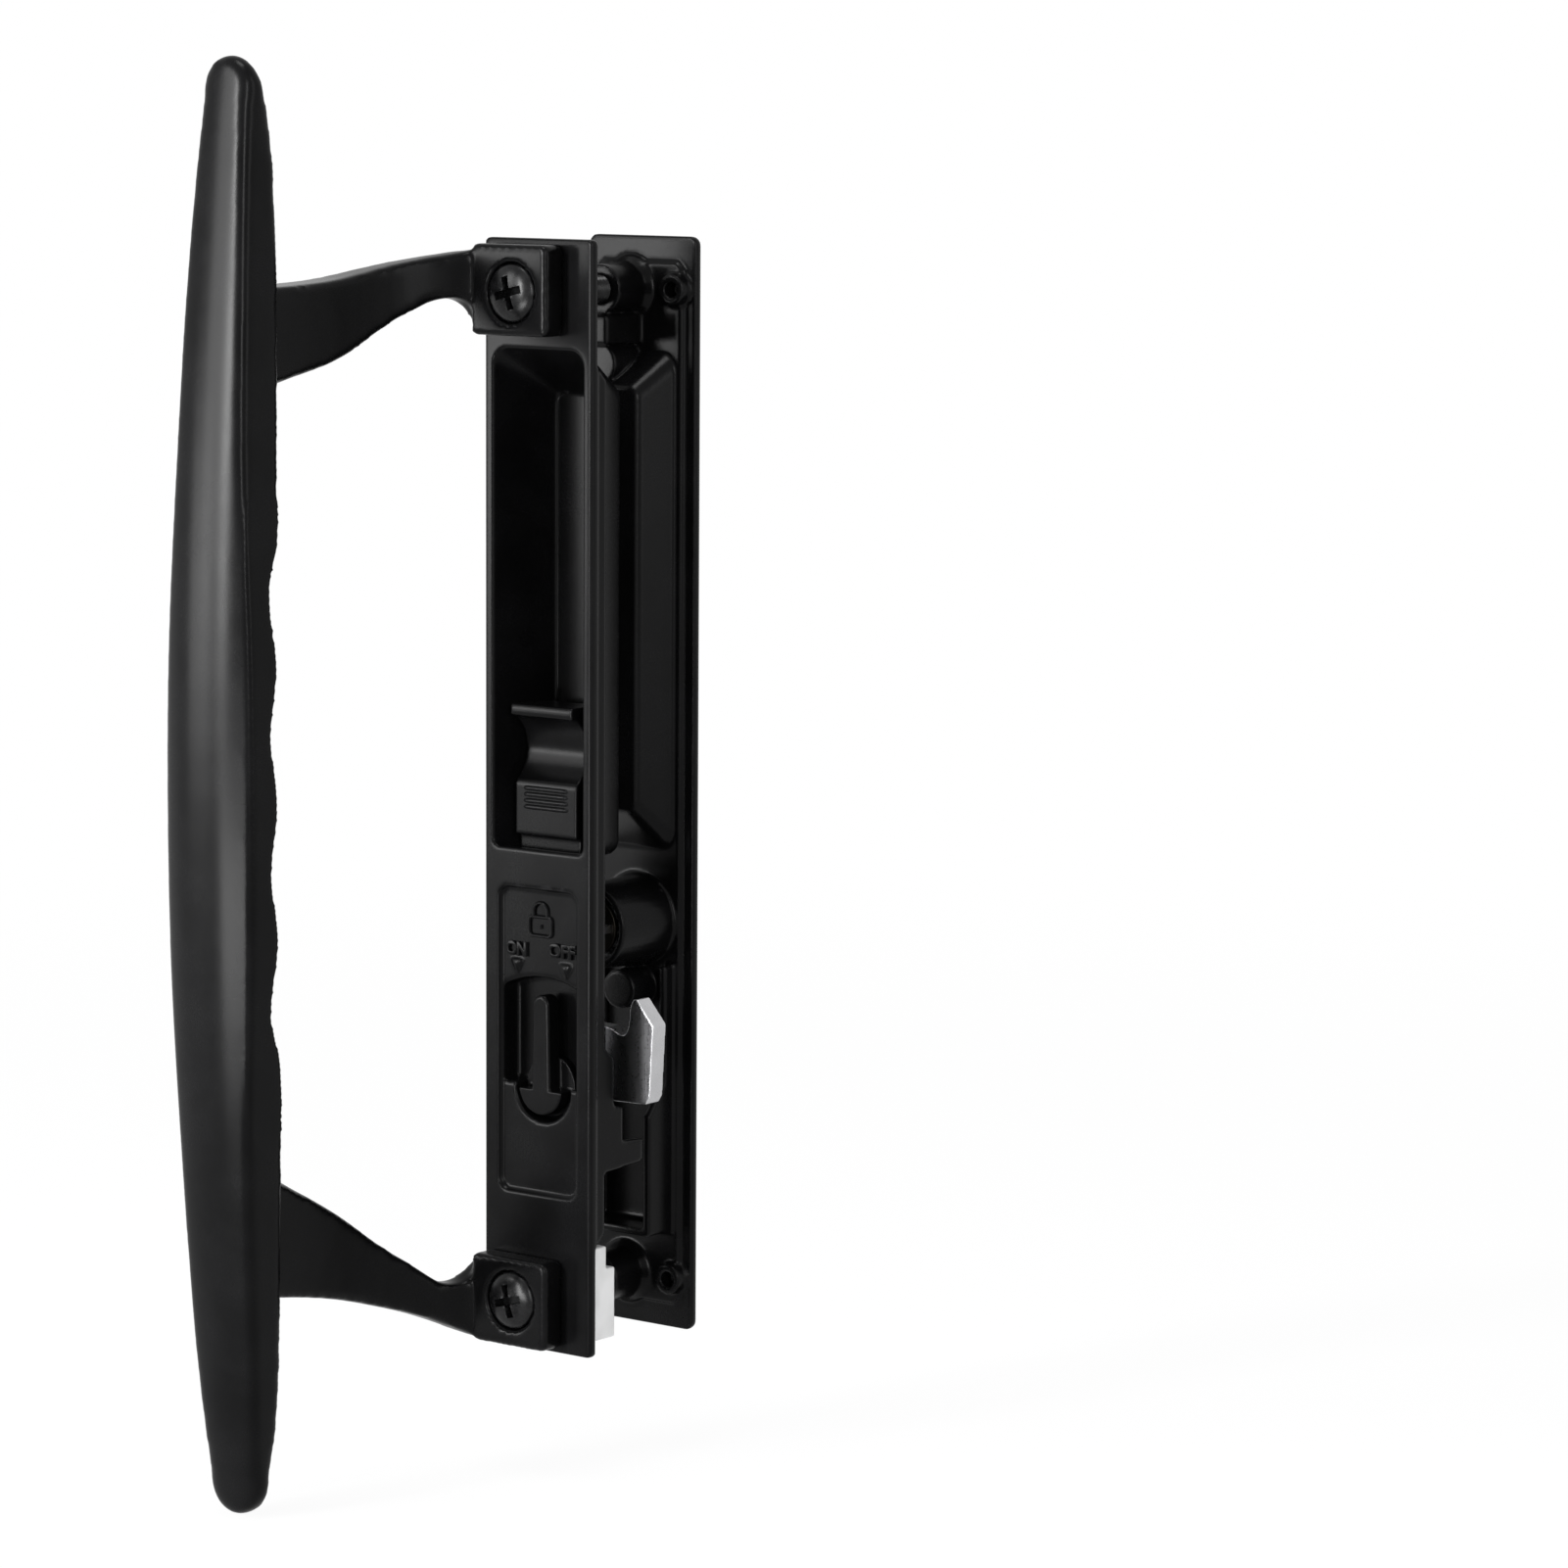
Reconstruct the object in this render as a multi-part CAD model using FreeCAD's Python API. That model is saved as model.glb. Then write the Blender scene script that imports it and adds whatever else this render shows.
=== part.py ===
import FreeCAD, Part
import math
import os

# Sliding patio door handle set. Millimetres. X to the right along the door, Y into the door, Z up.
# Origin: centre of the inside plate's outline, on the inside face of the door.
V = FreeCAD.Vector

# Driving dimensions
PLATE_W, PLATE_H, PLATE_T = 23.0, 186.0, 1.8
DOOR_T = 25.4
SCREW_X, SCREW_Z = -2.1, PLATE_H / 2 - 8.85
SCREW_R, SCREW_HEAD_R = 2.4, 4.8
CUP_TOP, CUP_BOTTOM, CUP_HALF = 75.0, -8.3, 9.75
CUP_FLOOR_Y, CUP_FLOOR_HALF, CUP_WALL = 10.0, 5.8, 1.5
PANEL_HALF, PANEL_TOP, PANEL_BOTTOM, PANEL_DEPTH = 8.4, -14.8, -66.5, 0.8
PIVOT_X, PIVOT_Z = 0.5, -48.3
WELL_R, WELL_FLOOR_Y, WELL_BACK_Y = 18.6, 2.6, 3.8
BAR_Y0, BAR_T = 6.6, 2.0
HOOK_T = 3.4
RIVET_X = (-2.5, 3.5)
GUIDE_X, GUIDE_Z = -8.8, -16.5
TRAVEL = 6.0
KEY_X, KEY_Z, BOSS_R, BOSS_Y = 0.5, -22.7, 7.2, 11.4
PLUG_R = 4.95
GRIP_X, GRIP_Z, GRIP_TOP, GRIP_BOTTOM = -20.3, 2.0, 122.6, -114.2
GRIP_CREST_Y, GRIP_EDGE_Y = -61.8, -58.8
GRIP_R = 1020.0
FOOT_Y, FOOT_L, FOOT_R, FOOT_H = -6.4, -10.9, 5.5, 15.0
HEAD_Y = -4.6                    # floor of the screw recess in a foot

RY = DOOR_T                      # inner face of the outside plate
HOOK_Y0 = BAR_Y0 + BAR_T


def box(x0, x1, y0, y1, z0, z1):
    return Part.makeBox(x1 - x0, y1 - y0, z1 - z0, V(x0, y0, z0))


def cyl(x, z, r, y0, y1):
    """Cylinder along Y."""
    return Part.makeCylinder(r, y1 - y0, V(x, y0, z), V(0, 1, 0))


def ring(x, z, r1, r0, y0, y1):
    return cyl(x, z, r1, y0, y1).cut(cyl(x, z, r0, y0 - 1, y1 + 1))


def cone(x, z, r0, r1, y0, y1):
    return Part.makeCone(r0, r1, y1 - y0, V(x, y0, z), V(0, 1, 0))


def poly(points):
    return Part.makePolygon(points + [points[0]])


def prism_y(xz, y0, y1):
    """XZ outline extruded along Y."""
    return Part.Face(poly([V(x, y0, z) for x, z in xz])).extrude(V(0, y1 - y0, 0))


def prism_x(yz, x0, x1):
    """YZ outline extruded along X."""
    return Part.Face(poly([V(x0, y, z) for y, z in yz])).extrude(V(x1 - x0, 0, 0))


def rrect(x0, x1, z0, z1, r, y):
    """Rounded rectangle wire in the XZ plane at height y."""
    k = r * (1 - math.sqrt(0.5))
    e = []
    e.append(Part.makeLine(V(x0 + r, y, z0), V(x1 - r, y, z0)))
    e.append(Part.Arc(V(x1 - r, y, z0), V(x1 - k, y, z0 + k), V(x1, y, z0 + r)).toShape())
    e.append(Part.makeLine(V(x1, y, z0 + r), V(x1, y, z1 - r)))
    e.append(Part.Arc(V(x1, y, z1 - r), V(x1 - k, y, z1 - k), V(x1 - r, y, z1)).toShape())
    e.append(Part.makeLine(V(x1 - r, y, z1), V(x0 + r, y, z1)))
    e.append(Part.Arc(V(x0 + r, y, z1), V(x0 + k, y, z1 - k), V(x0, y, z1 - r)).toShape())
    e.append(Part.makeLine(V(x0, y, z1 - r), V(x0, y, z0 + r)))
    e.append(Part.Arc(V(x0, y, z0 + r), V(x0 + k, y, z0 + k), V(x0 + r, y, z0)).toShape())
    return Part.Wire(e)


def slab(x0, x1, z0, z1, r, y0, y1):
    return Part.Face(rrect(x0, x1, z0, z1, r, y0)).extrude(V(0, y1 - y0, 0))


def loft(a, b):
    return Part.makeLoft([a, b], True, True)


def fillet_where(shape, r, test):
    """Round the edges whose midpoint passes the test."""
    edges = []
    for e in shape.Edges:
        m = e.valueAt((e.FirstParameter + e.LastParameter) / 2)
        if test(e, m):
            edges.append(e)
    return shape.makeFillet(r, edges)


def spline_face_x(rows, x):
    """Closed YZ outline from runs of points, each run a spline or a line."""
    edges = []
    for run in rows:
        pts = [V(x, y, z) for y, z in run]
        if len(pts) == 2:
            edges.append(Part.makeLine(pts[0], pts[1]))
        else:
            c = Part.BSplineCurve()
            c.interpolate(pts)
            edges.append(c.toShape())
    return Part.Face(Part.Wire(edges))


def spline_face_z(rows, z):
    """Closed XY outline from runs of points."""
    edges = []
    for run in rows:
        pts = [V(x, y, z) for x, y in run]
        if len(pts) == 2:
            edges.append(Part.makeLine(pts[0], pts[1]))
        else:
            c = Part.BSplineCurve()
            c.interpolate(pts)
            edges.append(c.toShape())
    return Part.Face(Part.Wire(edges))


# Pull handle
GRIP_OUTLINE = [(-107.0, 5.1), (-93.0, 6.2), (-78.0, 6.9), (-53.0, 7.7), (-28.0, 8.95), (2.0, 9.45), (32.0, 8.95), (57.0, 7.6),
                (82.0, 6.7), (97.0, 6.0), (115.5, 5.1)]
GRIP_BACK = [(-118.0, -51.4), (-110.5, -50.8), (-107.0, -50.4), (-101.0, -49.7), (-91.0, -49.6), (-81.0, -49.8), (-65.0, -50.0),
             (-52.0, -50.3), (-41.0, -51.2), (-30.0, -52.0), (3.0, -52.4), (32.0, -52.0), (45.0, -51.2), (57.0, -50.3), (75.0, -49.4),
             (95.0, -48.7), (105.0, -48.7), (110.0, -48.9), (113.0, -49.2), (116.0, -49.8), (119.0, -50.7), (127.0, -52.0)]


def back_y(z):
    """Back of the bar before the finger hollows, between the table's heights."""
    for (z0, y0), (z1, y1) in zip(GRIP_BACK, GRIP_BACK[1:]):
        if z0 <= z <= z1:
            return y0 + (y1 - y0) * (z - z0) / (z1 - z0)
    return GRIP_BACK[-1][1]


def make_grip():
    z0, w0 = GRIP_OUTLINE[0]
    z1, w1 = GRIP_OUTLINE[-1]
    right = Part.BSplineCurve()
    right.interpolate([V(GRIP_X + w, -75, z) for z, w in GRIP_OUTLINE])
    left = Part.BSplineCurve()
    left.interpolate([V(GRIP_X - w, -75, z) for z, w in reversed(GRIP_OUTLINE)])
    top = Part.Arc(V(GRIP_X + w1, -75, z1), V(GRIP_X, -75, GRIP_TOP), V(GRIP_X - w1, -75, z1))
    bot = Part.Arc(V(GRIP_X - w0, -75, z0), V(GRIP_X, -75, GRIP_BOTTOM), V(GRIP_X + w0, -75, z0))
    column = Part.Face(Part.Wire([right.toShape(), top.toShape(), left.toShape(), bot.toShape()]))
    column = column.extrude(V(0, 45, 0))
    # crowned section swept along the long bow of the bar
    e = 10.4
    crown = Part.Arc(V(GRIP_X - e, GRIP_EDGE_Y, GRIP_Z), V(GRIP_X, GRIP_CREST_Y, GRIP_Z),
                     V(GRIP_X + e, GRIP_EDGE_Y, GRIP_Z)).toShape()
    l1 = Part.makeLine(V(GRIP_X + e, GRIP_EDGE_Y, GRIP_Z), V(GRIP_X + e, -35, GRIP_Z))
    l2 = Part.makeLine(V(GRIP_X + e, -35, GRIP_Z), V(GRIP_X - e, -35, GRIP_Z))
    l3 = Part.makeLine(V(GRIP_X - e, -35, GRIP_Z), V(GRIP_X - e, GRIP_EDGE_Y, GRIP_Z))
    face = Part.Face(Part.Wire([crown, l1, l2, l3]))
    axis = V(0, GRIP_CREST_Y + GRIP_R, GRIP_Z)
    face.rotate(axis, V(1, 0, 0), -7.5)
    body = face.revolve(axis, V(1, 0, 0), 15.0)
    body = body.common(column)
    body = fillet_where(body, 1.2, lambda e, m: m.y < -45.0 and e.Length > 8.0)
    # back of the bar: long bow with four finger hollows
    back = []
    for i in range(123):
        z = -118.0 + 2.0 * i
        y = back_y(z)
        u = (z - 3.5) / 22.3
        if abs(u) < 2.0:
            c = 0.5 - 0.5 * math.cos(2 * math.pi * u)
            w = 1.0 if abs(u) < 1.6 else 0.5 + 0.5 * math.cos(math.pi * (abs(u) - 1.6) / 0.4)
            y -= w * (0.6 + 1.5 * c)
        back.append((y, z))
    tool = spline_face_x([back, [back[-1], (-25, back[-1][1])], [(-25, back[-1][1]), (-25, back[0][1])],
                          [(-25, back[0][1]), back[0]]], GRIP_X - 15).extrude(V(30, 0, 0))
    body = body.cut(tool)
    return body


def make_arm(sign):
    """Swept arm from foot to bar: side outline crossed with plan outline."""
    if sign > 0:
        top = [(-1.8, 91.0), (-5.8, 90.8), (-8.0, 90.5), (-14.6, 89.5), (-21.9, 88.2), (-29.7, 86.8), (-38.7, 86.0), (-56.0, 85.4)]
        low = [(-56.0, 64.5), (-48.0, 67.2), (-38.8, 70.8), (-29.7, 74.3), (-21.9, 78.3), (-14.6, 81.6), (-8.5, 83.0),
               (-5.6, 82.0), (-4.0, 79.4), (-1.8, 77.4)]
    else:
        top = [(-1.8, -77.8), (-4.2, -79.4), (-6.0, -81.4), (-9.0, -82.2), (-14.9, -79.1), (-22.5, -74.1), (-30.5, -68.4),
               (-39.7, -61.8), (-48.0, -55.5), (-56.0, -50.0)]
        low = [(-56.0, -77.6), (-48.0, -78.6), (-39.8, -80.0), (-30.6, -82.1), (-22.5, -84.5), (-15.0, -87.0), (-8.2, -90.1),
               (-3.6, -92.2), (-1.8, -92.6)]
    lean = lambda y: max(0.0, min(1.0, (-y - 28.0) / 21.0)) ** 1.5
    if sign > 0:
        top2, low2 = top, [(y, z + 7.0 * lean(y)) for y, z in low]
    else:
        top2, low2 = [(y, z - 8.5 * lean(y)) for y, z in top], low
    far = spline_face_x([top, [top[-1], low[0]], low, [low[-1], top[0]]], -25.0).OuterWire
    near = spline_face_x([top2, [top2[-1], low2[0]], low2, [low2[-1], top2[0]]], -6.0).OuterWire
    a = Part.makeLoft([far, near], True, True)
    rgt = [(-7.5, -1.8), (-9.6, -5.0), (-12.0, -10.0), (-14.7, -18.0), (-16.2, -30.0), (-16.4, -56.0)]
    lft = [(-24.6, -56.0), (-24.2, -38.0), (-21.6, -22.0), (-17.4, -11.0), (-14.2, -5.0), (-12.0, -1.8)]
    z0 = 55.0 if sign > 0 else -100.0
    b = spline_face_z([rgt, [rgt[-1], lft[0]], lft, [lft[-1], rgt[0]]], z0).extrude(V(0, 0, 45))
    return a.common(b)


def make_pull():
    grip = make_grip()
    feet = []
    for s in (1, -1):
        zc = s * (SCREW_Z + 0.4)
        pad = slab(FOOT_L, FOOT_R, zc - FOOT_H / 2, zc + FOOT_H / 2, 1.3, FOOT_Y, -PLATE_T)
        pad = fillet_where(pad, 0.6, lambda e, m: abs(m.y - FOOT_Y) < 1e-6)
        feet.append(pad)
        feet.append(make_arm(s))
    pull = grip.multiFuse(feet)
    keep = box(-60, 40, -90, -PLATE_T, -140, 140)
    pull = pull.common(keep)
    for s in (1, -1):
        pull = pull.cut(cyl(SCREW_X, s * SCREW_Z, 5.05, FOOT_Y - 12, HEAD_Y))
        pull = pull.cut(cyl(SCREW_X, s * SCREW_Z, 2.55, -8, 0))
    return pull.removeSplitter()


# Inside plate
def make_front_plate():
    hw, hh = PLATE_W / 2, PLATE_H / 2
    p = slab(-hw, hw, -hh, hh, 0.9, -PLATE_T, 0)
    p = fillet_where(p, 0.4, lambda e, m: abs(m.y + PLATE_T) < 1e-6)
    # side ribs on the back
    for s in (1, -1):
        x0, x1 = sorted((s * 10.0, s * 11.2))
        p = p.fuse(prism_x([(-0.5, 72.0), (0.6, 72.0), (2.7, 70.0), (2.7, -72.4), (0.6, -74.2), (-0.5, -74.2)], x0, x1))
    # finger cup shell
    outer = loft(rrect(-10.4, 10.4, CUP_BOTTOM - 1.5, CUP_TOP + 0.6, 3.0, -0.6),
                 rrect(-CUP_FLOOR_HALF - 1.2, CUP_FLOOR_HALF + 1.2, CUP_BOTTOM - 1.5, 68.6, 2.6, CUP_FLOOR_Y + CUP_WALL))
    outer = fillet_where(outer, 1.5, lambda e, m: abs(m.y - CUP_FLOOR_Y - CUP_WALL) < 1e-6)
    p = p.fuse(outer)
    # well block and lock cheeks behind the lower panel
    p = p.fuse(box(-9.4, 9.4, -0.5, WELL_BACK_Y, -56.5, -28.4))
    cheek = [(-0.5, -28.4), (2.7, -28.4), (2.7, -41.0), (5.1, -43.0), (5.1, -51.0), (7.4, -51.6), (7.4, -57.4),
             (12.6, -57.7), (12.6, -61.5), (2.7, -62.2), (-0.5, -63.4)]
    p = p.fuse(prism_x(cheek, 9.6, 11.2))
    p = p.fuse(prism_x([(-0.5, -28.4), (5.1, -28.4), (5.1, -60.5), (2.7, -63.4), (-0.5, -63.4)], -11.2, -9.6))
    # spring seat
    p = p.fuse(box(-9.8, -3.0, -0.5, 10.2, -66.0, -64.0))
    # guide pillar
    p = p.fuse(box(-10.2, -7.35, -0.5, HOOK_Y0 + 0.1, -21.5, -11.5))
    # openings
    inner = loft(rrect(-CUP_HALF, CUP_HALF, CUP_BOTTOM, CUP_TOP, 3.0, -PLATE_T),
                 rrect(-CUP_FLOOR_HALF, CUP_FLOOR_HALF, CUP_BOTTOM, 67.2, 2.0, CUP_FLOOR_Y))
    foot = loft(rrect(-CUP_HALF, CUP_HALF, CUP_BOTTOM, CUP_TOP - 20, 1.3, -PLATE_T),
                rrect(-CUP_FLOOR_HALF, CUP_FLOOR_HALF, CUP_BOTTOM, CUP_TOP - 20, 1.0, CUP_FLOOR_Y))
    p = p.cut(inner).cut(foot)
    p = p.cut(box(-7.0, 7.0, 0.2, HOOK_Y0 + 0.3, -14.0, CUP_BOTTOM + 1))
    p = p.cut(slab(-PANEL_HALF, PANEL_HALF, PANEL_BOTTOM, PANEL_TOP, 2.2, -5, -PLATE_T + PANEL_DEPTH))
    # lever well: sector top, straight foot, round notch at the pivot
    c = cyl(PIVOT_X, PIVOT_Z, WELL_R, -5, WELL_FLOOR_Y)
    c = c.common(box(-7.9, 8.1, -6, 10, PIVOT_Z + 0.3, -20))
    p = p.cut(c)
    p = p.cut(cyl(PIVOT_X, PIVOT_Z, 5.9, -5, WELL_FLOOR_Y))
    p = p.cut(cyl(PIVOT_X, PIVOT_Z, 2.05, -5, 8))
    # screw holes
    for s in (1, -1):
        p = p.cut(cyl(SCREW_X, s * SCREW_Z, 2.55, -5, 5))
        p = p.cut(cyl(GUIDE_X, GUIDE_Z + 2.8 * s, 0.95, 1.0, 12))
    p = p.cut(Part.makeCylinder(0.95, 4, V(-6.4, BAR_Y0 + 1, -66.5), V(0, 0, 1)))
    # direction pips beside the lever
    for x, z in ((-5.0, -28.0), (5.6, -28.0)):
        pip = prism_y([(x - 1.0, z + 0.8), (x + 1.0, z + 0.8), (x, z - 1.1)], -PLATE_T + 0.3, -PLATE_T + PANEL_DEPTH + 0.2)
        p = p.fuse(pip)
    return p.removeSplitter()


# Outside plate
def make_rear_plate():
    hw, hh = PLATE_W / 2, PLATE_H / 2
    p = slab(-hw, hw, -hh, hh, 1.5, RY, RY + PLATE_T)
    p = fillet_where(p, 0.8, lambda e, m: abs(m.y - RY - PLATE_T) < 1e-6)
    p = p.fuse(slab(-9.1, 9.1, 4.4 - hh, hh - 4.4, 2.0, RY - 0.8, RY + 0.5))
    outer = loft(rrect(-8.1, 8.1, -10.9, 74.1, 3.0, RY),
                 rrect(-5.7, 5.7, -3.2, 68.0, 2.4, 16.9))
    outer = fillet_where(outer, 1.4, lambda e, m: abs(m.y - 16.9) < 1e-6)
    p = p.fuse(outer)
    for s in (1, -1):
        z = s * SCREW_Z
        p = p.fuse(cone(SCREW_X, z, 4.2, 4.5, 16.6, 23.0))
        p = p.fuse(cone(SCREW_X, z, 4.5, 5.4, 23.0, RY - 0.8))
        p = p.fuse(cyl(SCREW_X, z, 5.5, RY - 0.8, RY))
        p = p.fuse(cyl(7.9, z, 2.6, 23.0, RY))
    p = p.fuse(box(-6.0, 0.6, 15.2, RY, 75.1, 79.8))
    p = p.fuse(cone(-3.2, 71.6, 3.7, 3.9, 17.6, RY))
    p = p.fuse(cone(KEY_X, KEY_Z, BOSS_R, BOSS_R + 0.6, BOSS_Y, RY))
    p = p.fuse(cone(KEY_X, -34.2, 3.3, 3.6, 18.9, RY))
    # open lock box
    wall = [(RY, -30.0), (22.0, -30.0), (22.0, -50.0), (17.9, -55.2), (17.9, -76.0), (RY, -76.0)]
    for s in (1, -1):
        x0, x1 = sorted((s * 6.8, s * 8.1))
        p = p.fuse(prism_x(wall, x0, x1))
    p = p.fuse(box(-8.1, 8.1, 17.9, RY, -76.0, -74.7))
    # openings
    inner = loft(rrect(-7.3, 7.3, -10.2, 73.4, 2.6, RY + PLATE_T),
                 rrect(-4.4, 4.4, -2.0, 66.8, 1.8, 18.4))
    p = p.cut(inner)
    for s in (1, -1):
        p = p.cut(cyl(SCREW_X, s * SCREW_Z, 2.45, 15, RY + 0.9))
        p = p.cut(cyl(7.9, s * SCREW_Z, 1.3, 20, RY + 0.4))
    p = p.cut(cyl(KEY_X, KEY_Z, 5.0, 5, 40))
    p = p.cut(cyl(KEY_X, KEY_Z, 6.1, 5, 13.6))
    p = p.cut(cyl(KEY_X, KEY_Z, 6.05, RY + 0.4, 40))
    return p.removeSplitter()


# Mounting screws
def make_screw(z):
    y0 = HEAD_Y
    ball = 9.0
    dome = Part.makeSphere(ball, V(SCREW_X, y0 - 2.7 + ball, z))
    head = cyl(SCREW_X, z, SCREW_HEAD_R, y0 - 4, y0).common(dome)
    s = head.fuse(cyl(SCREW_X, z, SCREW_R, y0, RY + 0.6))
    for dx, dz in ((2.6, 0.55), (0.55, 2.6)):
        s = s.cut(prism_y([(SCREW_X - dx, z - dz), (SCREW_X + dx, z - dz), (SCREW_X + dx, z + dz), (SCREW_X - dx, z + dz)],
                          y0 - 4, y0 - 1.1))
    return s.removeSplitter()


# Latch: thumb slide, strip, hook
def make_thumb_slide():
    arc = Part.Arc(V(-6.6, 0.3, 13.6), V(-6.6, 3.3, 8.4), V(-6.6, 0.6, 2.9)).toShape()
    pts = [V(-6.6, 0.6, 2.9), V(-6.6, 0.4, 2.4), V(-6.6, 0.4, -6.2), V(-6.6, 1.6, -6.2), V(-6.6, 1.6, -9.6),
           V(-6.6, BAR_Y0, -9.6), V(-6.6, BAR_Y0, 15.8),
           V(-6.6, -0.9, 15.8), V(-6.6, -0.9, 13.9), V(-6.6, 0.3, 13.6)]
    edges = [arc] + [Part.makeLine(pts[i], pts[i + 1]) for i in range(len(pts) - 1)]
    s = Part.Face(Part.Wire(edges)).extrude(V(13.2, 0, 0))
    s = fillet_where(s, 0.5, lambda e, m: abs(abs(m.x) - 6.6) > 1 and m.y < -0.8)
    for z in (12.0, 4.0):
        s = s.cut(cyl(0, z, 1.25, 4.0, 9))
    return s.removeSplitter()


def make_slide_bar():
    xz = [(-5.5, 14.5), (5.5, 14.5), (5.5, -10.5), (6.2, -12.5), (6.2, -52.0), (-9.2, -52.0), (-9.2, -38.0),
          (-7.2, -36.0), (-7.2, -12.5), (-5.5, -10.5)]
    b = prism_y(xz, BAR_Y0, BAR_Y0 + BAR_T)
    b = b.cut(box(KEY_X - 4.35, KEY_X + 4.35, 0, 20, KEY_Z - 3.2, KEY_Z + 3.2 + TRAVEL))
    for z in (12.0, 4.0):
        b = b.cut(cyl(0, z, 1.3, 0, 20))
    for x in RIVET_X:
        b = b.cut(cyl(x, -45.0, 1.55, 0, 20))
    return b


def make_slide_screw(z):
    y = BAR_Y0 + BAR_T
    head = cone(0, z, 2.3, 1.6, y, y + 1.2)
    s = head.fuse(cyl(0, z, 1.2, 4.2, y))
    return s.cut(box(-3, 3, y + 0.7, y + 3, z - 0.3, z + 0.3))


def make_hook():
    y0 = HOOK_Y0
    p = lambda x, z: V(x, y0, z)
    throat = Part.BSplineCurve()
    throat.interpolate([p(6.2, -38.7), p(8.5, -39.4), p(10.1, -39.7), p(11.0, -38.6), p(11.4, -36.2), p(12.3, -33.4)])
    pts = [(12.3, -33.4), (12.9, -33.3), (16.5, -37.5), (15.8, -49.6), (15.0, -50.9), (8.9, -51.1), (-6.0, -51.1),
           (-6.0, -38.2), (6.2, -38.7)]
    lines = [Part.makeLine(p(*pts[i]), p(*pts[i + 1])) for i in range(len(pts) - 1)]
    h = Part.Face(Part.Wire([throat.toShape()] + lines)).extrude(V(0, HOOK_T, 0))
    h = fillet_where(h, 0.9, lambda e, m: abs(m.y - y0 - HOOK_T / 2) < 1e-3 and
                     abs(m.x - 16.5) < 0.1)
    for x in RIVET_X:
        h = h.cut(cyl(x, -45.0, 1.55, 0, 20))
    return h


def make_rivet(x):
    r = cyl(x, -45.0, 1.5, BAR_Y0 - 0.3, HOOK_Y0 + HOOK_T)
    y = HOOK_Y0 + HOOK_T
    head = cyl(x, -45.0, 2.6, y, y + 0.4).fuse(cone(x, -45.0, 2.6, 1.5, y + 0.4, y + 1.1))
    return r.fuse(head).removeSplitter()


def make_spring():
    """Round-wire coil from half-turn arcs that meet tangent to each other; the wire is an octagon in section."""
    z0, z1, wire, rad, halves = -64.0, -52.0, 0.36, 1.9, 10
    rise = (z1 - z0 - 2 * wire - 0.1) / halves
    parts = []
    for i in range(halves):
        s = 1 if i % 2 == 0 else -1
        a = V(s * rad, 0, i * rise)
        b = V(-s * rad, 0, (i + 1) * rise)
        axis = (b - a).cross(V(0, 1, 0))
        ring_ = [a + V(wire * math.cos(math.pi * (k + 0.5) / 4), 0, wire * math.sin(math.pi * (k + 0.5) / 4)) for k in range(8)]
        parts.append(Part.Face(poly(ring_)).revolve((a + b) * 0.5, axis, 180 * s))
    coil = parts[0].multiFuse(parts[1:]).removeSplitter()
    coil.translate(V(-6.4, BAR_Y0 + 1, z0 + wire + 0.05))
    return coil


def make_spring_pin():
    p = Part.makeCylinder(0.9, 7.2, V(-6.4, BAR_Y0 + 1, -66.0), V(0, 0, 1))
    return p


def make_bar_guide():
    g = box(-10.2, 1.8, HOOK_Y0 + 0.1, HOOK_Y0 + 1.3, -14.2, -11.5)
    g = g.fuse(box(-10.2, -5.0, HOOK_Y0 + 0.1, HOOK_Y0 + 1.3, -21.5, -11.5))
    for s in (1, -1):
        g = g.cut(cyl(GUIDE_X, GUIDE_Z + 2.8 * s, 1.05, 0, 20))
    return g.removeSplitter()


def make_guide_screw(s):
    y, z = HOOK_Y0 + 1.3, GUIDE_Z + 2.8 * s
    h = cyl(GUIDE_X, z, 1.6, y, y + 1.1)
    h = h.cut(box(GUIDE_X - 3, GUIDE_X + 3, y + 0.6, y + 3, z - 0.25, z + 0.25))
    return h.fuse(cyl(GUIDE_X, z, 0.9, 1.4, y))


# Night-lock lever
def make_lever():
    x, z = PIVOT_X, PIVOT_Z
    disc = cyl(x, z, 5.3, 1.2, WELL_FLOOR_Y - 0.1)
    hub = cyl(x, z, 4.6, -1.6, 1.2).common(box(x - 6, x + 6, -3, 3, z - 8, z - 0.4))
    side = [V(x - 2.0, -1.6, z - 0.5), V(x + 2.0, -1.6, z - 0.5), V(x + 1.7, -1.6, z + 14.0)]
    tip = Part.Arc(side[2], V(x, -1.6, z + 15.7), V(x - 1.7, -1.6, z + 14.0)).toShape()
    rim = [Part.makeLine(side[0], side[1]), Part.makeLine(side[1], side[2]), tip, Part.makeLine(V(x - 1.7, -1.6, z + 14.0), side[0])]
    blade = Part.Face(Part.Wire(rim)).extrude(V(0, 2.8, 0))
    top = fillet_where(blade, 0.5, lambda e, m: abs(m.y + 1.6) < 1e-6 and m.z > z)
    l = disc.multiFuse([hub, top])
    l = l.fuse(cyl(x, z, 1.98, 1.2, WELL_BACK_Y + 0.1))
    l = l.fuse(box(x - 1.25, x + 1.25, WELL_BACK_Y, 5.15, z - 1.25, z + 1.25))
    l = l.fuse(cyl(x, z, 1.2, 5.0, 6.2))
    return l.removeSplitter()


def make_cam():
    x, z = PIVOT_X, PIVOT_Z
    c = cyl(x, z, 4.0, WELL_BACK_Y + 0.1, 5.1)
    c = c.fuse(prism_y([(x - 1.6, z), (x + 1.6, z), (x + 1.3, z - 8.6), (x - 1.3, z - 8.6)], WELL_BACK_Y + 0.1, 5.1))
    return c.cut(box(x - 1.3, x + 1.3, 0, 9, z - 1.3, z + 1.3)).removeSplitter()


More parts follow.
